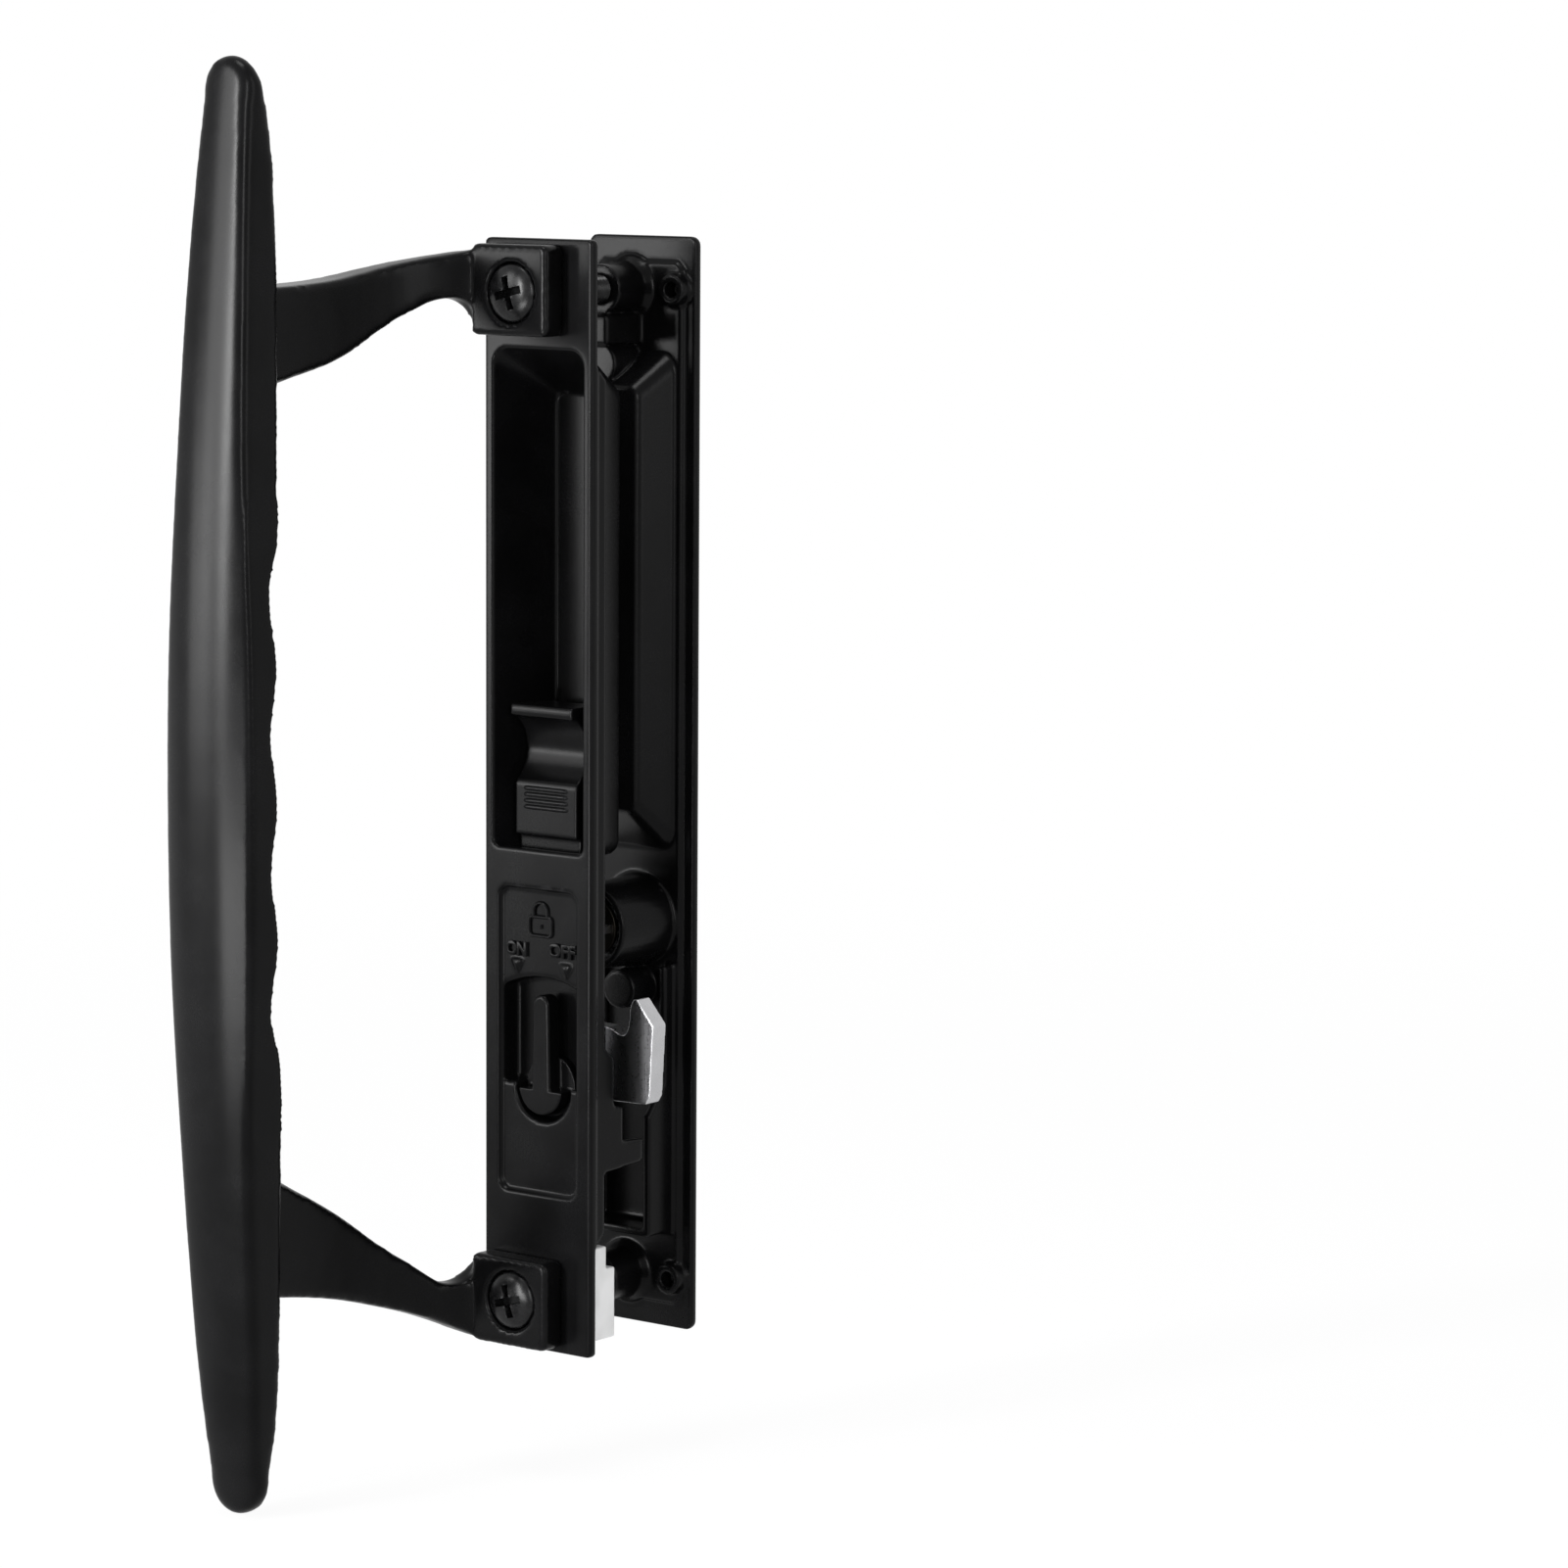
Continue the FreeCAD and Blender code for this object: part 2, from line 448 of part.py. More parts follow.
def make_cam_clip():
    r = ring(PIVOT_X, PIVOT_Z, 2.7, 1.23, 5.2, 5.7)
    return r.cut(box(PIVOT_X - 0.6, PIVOT_X + 0.6, 4, 7, PIVOT_Z, PIVOT_Z + 5))


# Key cylinder
WAFER_Y = (18.4, 20.0, 21.6, 23.2)


def make_plug():
    x, z = KEY_X, KEY_Z
    p = cyl(x, z, PLUG_R, 12.0, RY + 0.45)
    p = p.fuse(cyl(x, z, 6.0, RY + 0.45, RY + 2.0))
    p = p.fuse(cone(x, z, 6.0, 5.6, RY + 2.0, RY + 2.4))
    p = p.cut(ring(x, z, 8, 4.4, 12.9, 13.5))
    p = p.cut(box(x - 4.1, x + 4.1, 10, 16.0, z - 0.75, z + 0.75))
    p = p.cut(Part.makeCylinder(0.65, 20, V(x, 14.7, z - 10), V(0, 0, 1)))
    p = p.cut(box(x - 0.7, x + 0.7, 17.2, 40, z - 3.0, z + 3.0))
    for y in WAFER_Y:
        p = p.cut(box(x - 1.7, x + 1.7, y, y + 0.6, z - 4.4, z + 4.4))
    return p


def make_wafer(y):
    x, z = KEY_X, KEY_Z
    w = box(x - 1.65, x + 1.65, y + 0.05, y + 0.55, z - 4.3, z + 4.3)
    return w.cut(box(x - 0.75, x + 0.75, y - 1, y + 2, z - 3.05, z + 3.05))


def make_tailpiece():
    x, z = KEY_X, KEY_Z
    t = box(x - 4.0, x + 4.0, 5.4, 15.95, z - 0.7, z + 0.7)
    return t.cut(Part.makeCylinder(0.65, 20, V(x, 14.7, z - 10), V(0, 0, 1)))


def make_tail_pin():
    return Part.makeCylinder(0.6, 9.2, V(KEY_X, 14.7, KEY_Z - 4.6), V(0, 0, 1))


def make_plug_clip():
    r = ring(KEY_X, KEY_Z, 5.9, 4.45, 12.95, 13.45)
    return r.cut(box(KEY_X - 1.5, KEY_X + 1.5, 10, 20, KEY_Z, KEY_Z + 10))


# Spacer round the lower screw
def make_spacer():
    z = -SCREW_Z
    s = box(-9.0, 11.0, 0, 5.6, z - 6.3, z + 5.7)
    s = s.fuse(box(4.0, 11.0, 0, 3.2, z + 5.7, z + 9.6))
    s = s.cut(cyl(SCREW_X, z, 2.6, -2, 8)).removeSplitter()
    return fillet_where(s, 0.5, lambda e, m: abs(m.y - 5.6) < 1e-6 and abs(m.x - SCREW_X) > 3)


NODES = {
    "pull_handle": make_pull(),
    "front_plate": make_front_plate(),
    "rear_plate": make_rear_plate(),
    "mounting_screws": Part.makeCompound([make_screw(SCREW_Z), make_screw(-SCREW_Z)]),
    "thumb_slide": make_thumb_slide(),
    "slide_bar": make_slide_bar(),
    "slide_screws": Part.makeCompound([make_slide_screw(12.0), make_slide_screw(4.0)]),
    "latch_hook": make_hook(),
    "hook_rivets": Part.makeCompound([make_rivet(x) for x in RIVET_X]),
    "latch_spring": make_spring(),
    "spring_pin": make_spring_pin(),
    "bar_guide": make_bar_guide(),
    "guide_screws": Part.makeCompound([make_guide_screw(1), make_guide_screw(-1)]),
    "night_lock_lever": make_lever(),
    "night_lock_cam": make_cam(),
    "cam_clip": make_cam_clip(),
    "key_plug": make_plug(),
    "wafer_tumblers": Part.makeCompound([make_wafer(y) for y in WAFER_Y]),
    "cylinder_tailpiece": make_tailpiece(),
    "tailpiece_pin": make_tail_pin(),
    "plug_clip": make_plug_clip(),
    "lower_spacer": make_spacer(),
}

os.makedirs("parts", exist_ok=True)
for name, shape in NODES.items():
    shape.exportStep("parts/%s.step" % name)
    box_ = shape.BoundBox
    print(name, len(shape.Solids), shape.isValid(), round(shape.Volume, 1),
          [round(v, 2) for v in (box_.XMin, box_.XMax, box_.YMin, box_.YMax, box_.ZMin, box_.ZMax)])
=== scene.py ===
"""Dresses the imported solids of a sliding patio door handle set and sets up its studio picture."""

import logging
import math
from dataclasses import dataclass, field
from enum import Enum
from typing import Any, Sequence, Union

import bmesh
import bpy
from mathutils import Euler, Matrix, Vector


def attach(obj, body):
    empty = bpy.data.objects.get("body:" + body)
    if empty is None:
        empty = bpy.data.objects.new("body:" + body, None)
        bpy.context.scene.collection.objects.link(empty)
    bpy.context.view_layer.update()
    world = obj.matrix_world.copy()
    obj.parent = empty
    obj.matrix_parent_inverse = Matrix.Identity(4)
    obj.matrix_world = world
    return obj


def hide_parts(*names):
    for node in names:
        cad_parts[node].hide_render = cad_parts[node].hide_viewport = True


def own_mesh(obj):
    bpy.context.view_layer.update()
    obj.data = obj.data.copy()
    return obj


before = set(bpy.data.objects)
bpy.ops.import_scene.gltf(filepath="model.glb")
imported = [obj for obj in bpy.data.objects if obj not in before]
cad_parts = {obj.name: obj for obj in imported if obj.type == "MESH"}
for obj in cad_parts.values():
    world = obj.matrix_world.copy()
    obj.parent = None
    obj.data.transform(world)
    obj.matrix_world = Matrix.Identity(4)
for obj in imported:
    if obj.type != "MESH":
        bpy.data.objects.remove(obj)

Pair = tuple[float, float]
Triple = tuple[float, float, float]
SocketKey = Union[int, str]

LOG = logging.getLogger("handle_set")
MM = 0.001
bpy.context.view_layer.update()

# Turn of the remesh grid, so that its cells run along none of the pull's faces
ASKEW: Triple = (0.55, 0.40, 0.30)
# Pointiness on flats and on outer edges
EDGE_RAMP: Pair = (0.52, 0.60)

# Outlines of small fasteners, as radius and depth in millimetres
SLIDE_SCREW: Sequence[Pair] = (
    (0.0, 1.2), (1.3, 1.2), (1.6, 1.15), (2.2, 0.35), (2.3, 0.15), (2.3, 0.0),
    (1.2, 0.0), (1.2, -3.9), (0.8, -4.3), (0.0, -4.3),
)
GUIDE_SCREW: Sequence[Pair] = (
    (0.0, 1.1), (1.2, 1.1), (1.48, 1.0), (1.6, 0.75), (1.6, 0.0),
    (0.9, 0.0), (0.9, -8.2), (0.6, -8.5), (0.0, -8.5),
)
RIVET_SHANK: Sequence[Pair] = ((2.6, 0.0), (1.5, 0.0), (1.5, -5.4), (1.3, -5.65), (0.0, -5.7))


class Body(Enum):
    """The bodies that the pieces ride on."""

    FRAME = "frame"
    LATCH = "latch"
    NIGHT_LOCK = "night_lock"
    KEY_CYLINDER = "key_cylinder"


class Slot(Enum):
    """The material slots of the record."""

    CASTING = "black_casting"
    SCREW = "black_screw"
    ZINC = "zinc_steel"
    SPRING = "spring_steel"
    BRASS = "plug_brass"
    PLASTIC = "white_plastic"


class Drive(Enum):
    """What is cut into the head of a turned fastener."""

    NONE = 0
    SLOT = 1
    CROSS = 2


# Shader graphs


class Wave:
    """A number that varies over a surface; Python operators on it add Math nodes."""

    def __init__(self, graph: "Shader", socket: bpy.types.NodeSocket) -> None:
        """Wraps one output socket of a shader graph."""
        self.graph = graph
        self.socket = socket

    def _math(self, operation: str, left: Any, right: Any) -> "Wave":
        """Adds one Math node.

        Args:
            operation: the Math node's operation.
            left: first operand, a wave or a number.
            right: second operand, a wave or a number.

        Returns:
            The node's result.
        """
        return self.graph.add("ShaderNodeMath", {"operation": operation}, {0: left, 1: right})

    def __add__(self, other: Any) -> "Wave":
        """Sum."""
        return self._math("ADD", self, other)

    def __sub__(self, other: Any) -> "Wave":
        """Difference."""
        return self._math("SUBTRACT", self, other)

    def __mul__(self, other: Any) -> "Wave":
        """Product."""
        return self._math("MULTIPLY", self, other)

    def ramp(self, low: float, high: float) -> "Wave":
        """Smooth step from 0 at low to 1 at high.

        Args:
            low: value that becomes 0.
            high: value that becomes 1.

        Returns:
            The stepped wave.
        """
        settings = {"interpolation_type": "SMOOTHSTEP"}
        inputs = {"Value": self, 1: low, 2: high, 3: 0.0, 4: 1.0}
        return self.graph.add("ShaderNodeMapRange", settings, inputs)


class Shader:
    """A material's node tree with one principled shader at its end."""

    def __init__(self, name: str) -> None:
        """Makes an empty material of that name."""
        self.material = bpy.data.materials.new(name)
        self.material.use_nodes = True
        self.tree = self.material.node_tree
        self.tree.nodes.clear()
        self.output = self.tree.nodes.new("ShaderNodeOutputMaterial")
        self.base = self.tree.nodes.new("ShaderNodeBsdfPrincipled")
        self.tree.links.new(self.base.outputs[0], self.output.inputs[0])

    def put(self, socket: bpy.types.NodeSocket, value: Any) -> None:
        """Links or sets one input.

        Args:
            socket: the input.
            value: a wave, an output socket, a number or a colour.
        """
        if isinstance(value, Wave):
            self.tree.links.new(value.socket, socket)
        elif isinstance(value, bpy.types.NodeSocket):
            self.tree.links.new(value, socket)
        else:
            socket.default_value = value

    def add(self, kind: str, settings: dict, inputs: dict, out: SocketKey = 0) -> Wave:
        """Adds any node.

        Args:
            kind: the node's type.
            settings: its properties, set first.
            inputs: values or links of its sockets, by name or place.
            out: which output is handed back.

        Returns:
            That output, wrapped.
        """
        node = self.tree.nodes.new(kind)
        for key, value in settings.items():
            setattr(node, key, value)
        for key, value in inputs.items():
            self.put(node.inputs[key], value)
        return Wave(self, node.outputs[out])

    def place(self, scale: Triple = (1.0, 1.0, 1.0)) -> Wave:
        """Object coordinates, stretched.

        Args:
            scale: factor along each axis.

        Returns:
            The coordinate vector.
        """
        spot = self.add("ShaderNodeTexCoord", {}, {}, "Object")
        return self.add("ShaderNodeMapping", {}, {"Vector": spot, "Scale": scale})

    def grain(self, size_mm: float, detail: float = 2.0, stretch: Triple = (1.0, 1.0, 1.0)) -> Wave:
        """Noise with features of about one size.

        Args:
            size_mm: feature size in millimetres.
            detail: octaves of finer noise.
            stretch: factor along each axis, to draw the grain out.

        Returns:
            A value round 0.5.
        """
        scale = 1.0 / (size_mm * MM)
        inputs = {"Vector": self.place(stretch), "Scale": scale, "Detail": detail, "Roughness": 0.55}
        return self.add("ShaderNodeTexNoise", {"noise_dimensions": "3D"}, inputs)

    def blend(self, factor: Any, first: Union[Wave, Triple], second: Union[Wave, Triple]) -> Wave:
        """Mixes two colours, plain or varying.

        Args:
            factor: share of the second colour.
            first: colour at 0.
            second: colour at 1.

        Returns:
            The mixed colour.
        """
        low, high = (end if isinstance(end, Wave) else (*end, 1.0) for end in (first, second))
        return self.add("ShaderNodeMix", {"data_type": "RGBA"}, {0: factor, 6: low, 7: high}, 2)

    def edge(self) -> Wave:
        """How sharply the surface turns outwards: 0 on flats, 1 on outer edges."""
        return self.add("ShaderNodeNewGeometry", {}, {}, "Pointiness").ramp(*EDGE_RAMP)

    def relief(self, height: Wave, depth_mm: float, strength: float) -> Wave:
        """Bump from a height.

        Args:
            height: the height, 0 to 1.
            depth_mm: what 1 stands for.
            strength: share that is used.

        Returns:
            The bent normal.
        """
        inputs = {"Height": height, "Distance": depth_mm * MM, "Strength": strength}
        return self.add("ShaderNodeBump", {}, inputs)

    def finish(self, **sockets: Any) -> bpy.types.Material:
        """Sets the principled shader's sockets.

        Args:
            **sockets: values by socket name, with _ for a space.

        Returns:
            The finished material.
        """
        for key, value in sockets.items():
            self.put(self.base.inputs[key.replace("_", " ")], value)
        return self.material


@dataclass(frozen=True)
class PowderCoat:
    """Satin black powder coat on a zinc casting."""

    name: str = "satin_black_coat"
    dark: Triple = (0.0015, 0.0015, 0.0016)
    pale: Triple = (0.0027, 0.0027, 0.0029)
    # Paler colour painted on outer edges as a highlight
    edge_highlight: Triple = (0.022, 0.022, 0.023)
    rough: float = 0.25
    shine: float = 0.075
    peel_mm: float = 0.55
    peel_depth_mm: float = 0.010

    def material(self) -> bpy.types.Material:
        """Builds the coat: slow tone drift, orange peel, and painted highlights on outer edges."""
        s = Shader(self.name)
        drift = s.grain(14.0, 3.0)
        speck = s.grain(0.22, 1.0)
        # Painted highlight: outer edges, in random patches, turn paler in place of the glints they catch
        # from the lamps.
        highlight_mask = s.edge() * s.grain(3.0, 2.0).ramp(0.35, 0.7)
        tone = s.blend(drift.ramp(0.3, 0.7), self.dark, self.pale)
        colour = s.blend(highlight_mask * 0.35, tone, self.edge_highlight)
        rough = (drift - 0.5) * 0.10 + (speck - 0.5) * 0.10 + self.rough - highlight_mask * 0.05
        peel = s.grain(self.peel_mm, 1.5) * 0.8 + speck * 0.2
        bent = s.relief(peel, self.peel_depth_mm, 0.25)
        return s.finish(Base_Color=colour, Roughness=rough, Normal=bent, Specular_IOR_Level=self.shine)


@dataclass(frozen=True)
class BlackOxide:
    """Blackened steel of the mounting screws."""

    name: str = "black_oxide_screw"
    dark: Triple = (0.0025, 0.0025, 0.0027)
    pale: Triple = (0.007, 0.007, 0.0073)
    # Pale grey painted on outer edges as a highlight
    edge_highlight: Triple = (0.20, 0.20, 0.205)
    rough: float = 0.27
    shine: float = 0.17

    def material(self) -> bpy.types.Material:
        """Builds the finish: thin mottling, fine grain, and bright painted highlights on outer edges."""
        s = Shader(self.name)
        mottle = s.grain(1.6, 3.0)
        fine = s.grain(0.15, 1.0)
        tone = s.blend(mottle.ramp(0.35, 0.75), self.dark, self.pale)
        # Painted highlight: outer edges, in patches, turn pale grey in place of the glints they catch.
        highlight_mask = s.edge() * mottle.ramp(0.4, 0.6)
        colour = s.blend(highlight_mask * 0.5, tone, self.edge_highlight)
        rough = (mottle - 0.5) * 0.16 + self.rough
        bent = s.relief(fine * 0.6 + mottle * 0.4, 0.012, 0.4)
        return s.finish(Base_Color=colour, Roughness=rough, Normal=bent, Specular_IOR_Level=self.shine)


@dataclass(frozen=True)
class ZincSteel:
    """Zinc plated stamped steel with tumbled faces."""

    name: str = "zinc_plated_steel"
    dark: Triple = (0.36, 0.36, 0.37)
    pale: Triple = (0.56, 0.56, 0.57)
    # Near white painted on outer edges as a highlight
    bright: Triple = (0.86, 0.86, 0.87)
    # Dark colour painted as shade on the faces turned along the door's thickness
    face_shade: Triple = (0.12, 0.12, 0.125)
    face_shade_share: float = 0.75
    rough: float = 0.30

    def material(self) -> bpy.types.Material:
        """Builds the plating: specks, drawn scratches, painted shade on the faces turned along the
        door's thickness, and painted highlights on the edges.
        """
        s = Shader(self.name)
        cloud = s.grain(5.0, 3.0)
        speck = s.grain(0.28, 2.0)
        lines = s.grain(0.30, 2.0, (1.0, 1.0, 0.06))
        # Painted highlight: outer edges turn near white in place of the light that sheared edges catch.
        rim = s.edge()
        tone = s.blend(cloud * 0.8 + speck * 0.2, self.dark, self.pale)
        # Painted shade: faces turned along the door's thickness darken, as they mirror dark
        # surroundings.
        facing = s.add("ShaderNodeNewGeometry", {}, {}, "Normal")
        depth = s.add("ShaderNodeSeparateXYZ", {}, {0: facing}, "Y")
        flat = (depth * depth).ramp(0.55, 0.95) * self.face_shade_share
        shaded_tone = s.blend(flat, tone, self.face_shade)
        colour = s.blend(rim, shaded_tone, self.bright)
        rough = (speck - 0.5) * 0.16 + (lines - 0.5) * 0.12 + self.rough
        bent = s.relief(speck * 0.4 + lines * 0.6, 0.005, 0.3)
        return s.finish(Base_Color=colour, Roughness=rough, Metallic=1.0, Normal=bent)


@dataclass(frozen=True)
class SpringSteel:
    """Drawn spring wire and stamped clips."""

    name: str = "bright_spring_steel"
    dark: Triple = (0.34, 0.34, 0.35)
    pale: Triple = (0.58, 0.58, 0.58)

    def material(self) -> bpy.types.Material:
        """Builds the wire: fine drawing marks and heat tint."""
        s = Shader(self.name)
        marks = s.grain(0.12, 2.0)
        tint = s.grain(2.5, 2.0)
        tone = s.blend(tint.ramp(0.3, 0.7), self.dark, self.pale)
        rough = (marks - 0.5) * 0.2 + 0.28
        bent = s.relief(marks, 0.006, 0.4)
        return s.finish(Base_Color=tone, Roughness=rough, Metallic=1.0, Normal=bent)


@dataclass(frozen=True)
class PlugBrass:
    """Nickel-washed brass of the key plug."""

    name: str = "plug_brass"
    dark: Triple = (0.46, 0.36, 0.19)
    pale: Triple = (0.66, 0.56, 0.36)
    inner_end_dark: Triple = (0.020, 0.018, 0.015)
    inner_end_dark_y: float = 17.0

    def material(self) -> bpy.types.Material:
        """Builds the metal: turning marks, cloudy tone, and a near-black inner end with a cloudy border.
        """
        s = Shader(self.name)
        cloud = s.grain(2.2, 3.0)
        turned = s.grain(0.18, 2.0, (1.0, 0.15, 1.0))
        tone = s.blend(cloud.ramp(0.3, 0.75), self.dark, self.pale)
        # Near black towards the plug's inner end, short of the given depth; brass beyond it.
        depth = s.add("ShaderNodeSeparateXYZ", {}, {0: s.place()}, 1) * (1.0 / MM)
        open_end = (depth + (cloud - 0.5) * 1.5).ramp(self.inner_end_dark_y, self.inner_end_dark_y + 1.2)
        colour = s.blend(open_end, self.inner_end_dark, tone)
        rough = (turned - 0.5) * 0.2 + (cloud - 0.5) * 0.15 + 0.45 - open_end * 0.18
        bent = s.relief(turned, 0.006, 0.4)
        return s.finish(Base_Color=colour, Roughness=rough, Metallic=1.0, Normal=bent)


@dataclass(frozen=True)
class WhitePlastic:
    """Moulded white plastic of the spacer."""

    name: str = "white_moulded_plastic"
    dark: Triple = (0.54, 0.54, 0.535)
    pale: Triple = (0.62, 0.62, 0.615)

    def material(self) -> bpy.types.Material:
        """Builds the plastic: flow clouds and a fine spark-eroded grain."""
        s = Shader(self.name)
        flow = s.grain(6.0, 2.0)
        grain = s.grain(0.20, 1.0)
        tone = s.blend(flow.ramp(0.3, 0.7), self.dark, self.pale)
        rough = (grain - 0.5) * 0.15 + 0.42
        return s.finish(Base_Color=tone, Roughness=rough, Normal=s.relief(grain, 0.008, 0.35))


@dataclass
class Finishes:
    """One built material for each slot."""

    table: dict[Slot, bpy.types.Material] = field(default_factory=dict)

    def build(self) -> "Finishes":
        """Makes every material once."""
        self.table = {
            Slot.CASTING: PowderCoat().material(),
            Slot.SCREW: BlackOxide().material(),
            Slot.ZINC: ZincSteel().material(),
            Slot.SPRING: SpringSteel().material(),
            Slot.BRASS: PlugBrass().material(),
            Slot.PLASTIC: WhitePlastic().material(),
        }
        return self

    def __getitem__(self, slot: Slot) -> bpy.types.Material:
        """The material of a slot."""
        return self.table[slot]


# Meshes


def new_piece(name: str, mesh: bpy.types.Mesh, material: bpy.types.Material) -> bpy.types.Object:
    """Links a mesh as an object at the origin.

    Args:
        name: the piece's name.
        mesh: its mesh, already in place.
        material: its finish.

    Returns:
        The object.
    """
    mesh.name = name
    mesh.materials.clear()
    mesh.materials.append(material)
    piece = bpy.data.objects.new(name, mesh)
    bpy.context.scene.collection.objects.link(piece)
    return piece


def evaluated(piece: bpy.types.Object) -> bpy.types.Mesh:
    """A piece's mesh with its modifiers applied.

    Args:
        piece: the object; it is removed afterwards.

    Returns:
        The plain mesh.
    """
    bpy.context.view_layer.update()
    graph = bpy.context.evaluated_depsgraph_get()
    mesh = bpy.data.meshes.new_from_object(piece.evaluated_get(graph), depsgraph=graph)
    piece.modifiers.clear()
    bpy.data.objects.remove(piece)
    return mesh


def outward(mesh: bpy.types.Mesh) -> bpy.types.Mesh:
    """Turns a closed mesh's faces outwards.

    Args:
        mesh: the mesh, changed in place.

    Returns:
        The same mesh.
    """
    work = bmesh.new()
    work.from_mesh(mesh)
    bmesh.ops.remove_doubles(work, verts=work.verts, dist=2e-7)
    bmesh.ops.recalc_face_normals(work, faces=work.faces)
    work.to_mesh(mesh)
    work.free()
    return mesh


def smooth_by_angle(mesh: bpy.types.Mesh, degrees: float) -> None:
    """Shades a mesh smooth except over sharp edges.

    Args:
        mesh: the mesh.
        degrees: angle above which an edge stays sharp.
    """
    mesh.shade_smooth()
    mesh.set_sharp_from_angle(angle=math.radians(degrees))


def cast_copy(
    node: str, voxel_mm: float, passes: int, hug: bool = False, share: float = 1.0
) -> bpy.types.Mesh:
    """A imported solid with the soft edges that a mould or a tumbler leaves.

    Args:
        node: the CAD node that is copied.
        voxel_mm: size of the remesh's cells.
        passes: rounds of smoothing, which set the edge radius.
        hug: cuts the cells askew and draws them back onto the solid's faces before smoothing.
        share: part of the triangles that is kept, the flats giving theirs up first.

    Returns:
        A smooth mesh in the part's frame.
    """
    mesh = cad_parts[node].data.copy()
    work = bmesh.new()
    work.from_mesh(mesh)
    bmesh.ops.remove_doubles(work, verts=work.verts, dist=1e-6)
    work.to_mesh(mesh)
    work.free()
    turn = Euler(ASKEW if hug else (0.0, 0.0, 0.0)).to_matrix().to_4x4()
    mesh.transform(turn)
    raw = bpy.data.objects.new(node + "_raw", mesh)
    raw.matrix_world = turn.inverted()
    bpy.context.scene.collection.objects.link(raw)
    cells = raw.modifiers.new("cells", "REMESH")
    cells.mode = "VOXEL"
    cells.voxel_size = voxel_mm * MM
    cells.use_smooth_shade = True
    if hug:
        wrap = raw.modifiers.new("wrap", "SHRINKWRAP")
        wrap.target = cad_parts[node]
        wrap.wrap_method = "NEAREST_SURFACEPOINT"
    soft = raw.modifiers.new("soft", "SMOOTH")
    soft.factor = 0.5
    soft.iterations = passes
    if share < 1.0:
        fewer = raw.modifiers.new("fewer", "DECIMATE")
        fewer.ratio = share
    result = evaluated(raw)
    result.transform(turn.inverted())
    result.shade_smooth()
    return result


def seat(piece: bpy.types.Object, body: Body, slot: Slot, *nodes: str) -> bpy.types.Object:
    """Puts a piece on its body.

    Args:
        piece: the object.
        body: what it moves with.
        slot: not used.
        *nodes: CAD nodes that it stands for.

    Returns:
        The same object.
    """
    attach(piece, body.value)
    if nodes:
        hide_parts(*nodes)
    LOG.info("%s rides on %s, %d faces", piece.name, body.value, len(piece.data.polygons))
    return piece


@dataclass(frozen=True)
class Casting:
    """A CAD node that is shown as a copy with soft edges."""

    name: str
    node: str
    body: Body
    slot: Slot
    voxel_mm: float
    passes: int
    share: float = 1.0

    def build(self, finishes: Finishes) -> None:
        """Copies the node, dresses it and seats it."""
        mesh = cast_copy(self.node, self.voxel_mm, self.passes, share=self.share)
        seat(new_piece(self.name, mesh, finishes[self.slot]), self.body, self.slot, self.node)


def dress_node(node: str, material: bpy.types.Material) -> None:
    """Gives a carried-over CAD node its finish.

    Args:
        node: the node's name.
        material: the finish.
    """
    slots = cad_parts[node].data.materials
    slots.clear()
    slots.append(material)
    LOG.info("%s keeps its solid", node)


# Geometry Nodes


class GeoTree:
    """A Geometry Nodes tree with named inputs that ends in realised, finished geometry."""

    def __init__(self, name: str) -> None:
        """Makes an empty tree of that name."""
        self.tree = bpy.data.node_groups.new(name, "GeometryNodeTree")
        self.tree.interface.new_socket("Geometry", in_out="OUTPUT", socket_type="NodeSocketGeometry")
        self.source = self.tree.nodes.new("NodeGroupInput")
        self.values: dict[str, Any] = {}

    def put(self, socket: bpy.types.NodeSocket, value: Any) -> None:
        """Links or sets one input.

        Args:
            socket: the input.
            value: an output socket, or a plain value.
        """
        if isinstance(value, bpy.types.NodeSocket):
            self.tree.links.new(value, socket)
        else:
            socket.default_value = value

    def add(self, kind: str, settings: dict, inputs: dict, out: SocketKey = 0) -> bpy.types.NodeSocket:
        """Adds any node.

        Args:
            kind: the node's type.
            settings: its properties, set first.
            inputs: values or links by socket name or place; a list links several to one socket.
            out: which output is handed back.

        Returns:
            That output socket.
        """
        node = self.tree.nodes.new(kind)
        for key, value in settings.items():
            setattr(node, key, value)
        for key, value in inputs.items():
            for one in value if isinstance(value, list) else [value]:
                self.put(node.inputs[key], one)
        return node.outputs[out]

    def size(self, name: str, value: Any, kind: str = "NodeSocketFloat") -> bpy.types.NodeSocket:
        """Adds a named input.

        Args:
            name: what the size is called.
            value: its value for this object.
            kind: the socket's type.

        Returns:
            The input's socket inside the tree.
        """
        item = self.tree.interface.new_socket(name, in_out="INPUT", socket_type=kind)
        self.values[item.identifier] = value
        return self.source.outputs[name]

    def math(self, operation: str, left: Any, right: Any = 0.0) -> bpy.types.NodeSocket:
        """One Math node's result."""
        return self.add("ShaderNodeMath", {"operation": operation}, {0: left, 1: right})

    def solve(self, geometry: bpy.types.NodeSocket, material: bpy.types.Material) -> bpy.types.Mesh:
        """Closes the tree and runs it.

        Args:
            geometry: what the tree made.
            material: the finish that Set Material gives.

        Returns:
            A plain mesh, faces outwards.
        """
        real = self.add("GeometryNodeRealizeInstances", {}, {0: geometry})
        done = self.add("GeometryNodeSetMaterial", {}, {"Geometry": real, "Material": material})
        end = self.tree.nodes.new("NodeGroupOutput")
        self.tree.links.new(done, end.inputs[0])
        host = bpy.data.objects.new(self.tree.name, bpy.data.meshes.new(self.tree.name))
        bpy.context.scene.collection.objects.link(host)
        modifier = host.modifiers.new("tree", "NODES")
        modifier.node_group = self.tree
        for identifier, value in self.values.items():
            modifier[identifier] = value
        return outward(evaluated(host))


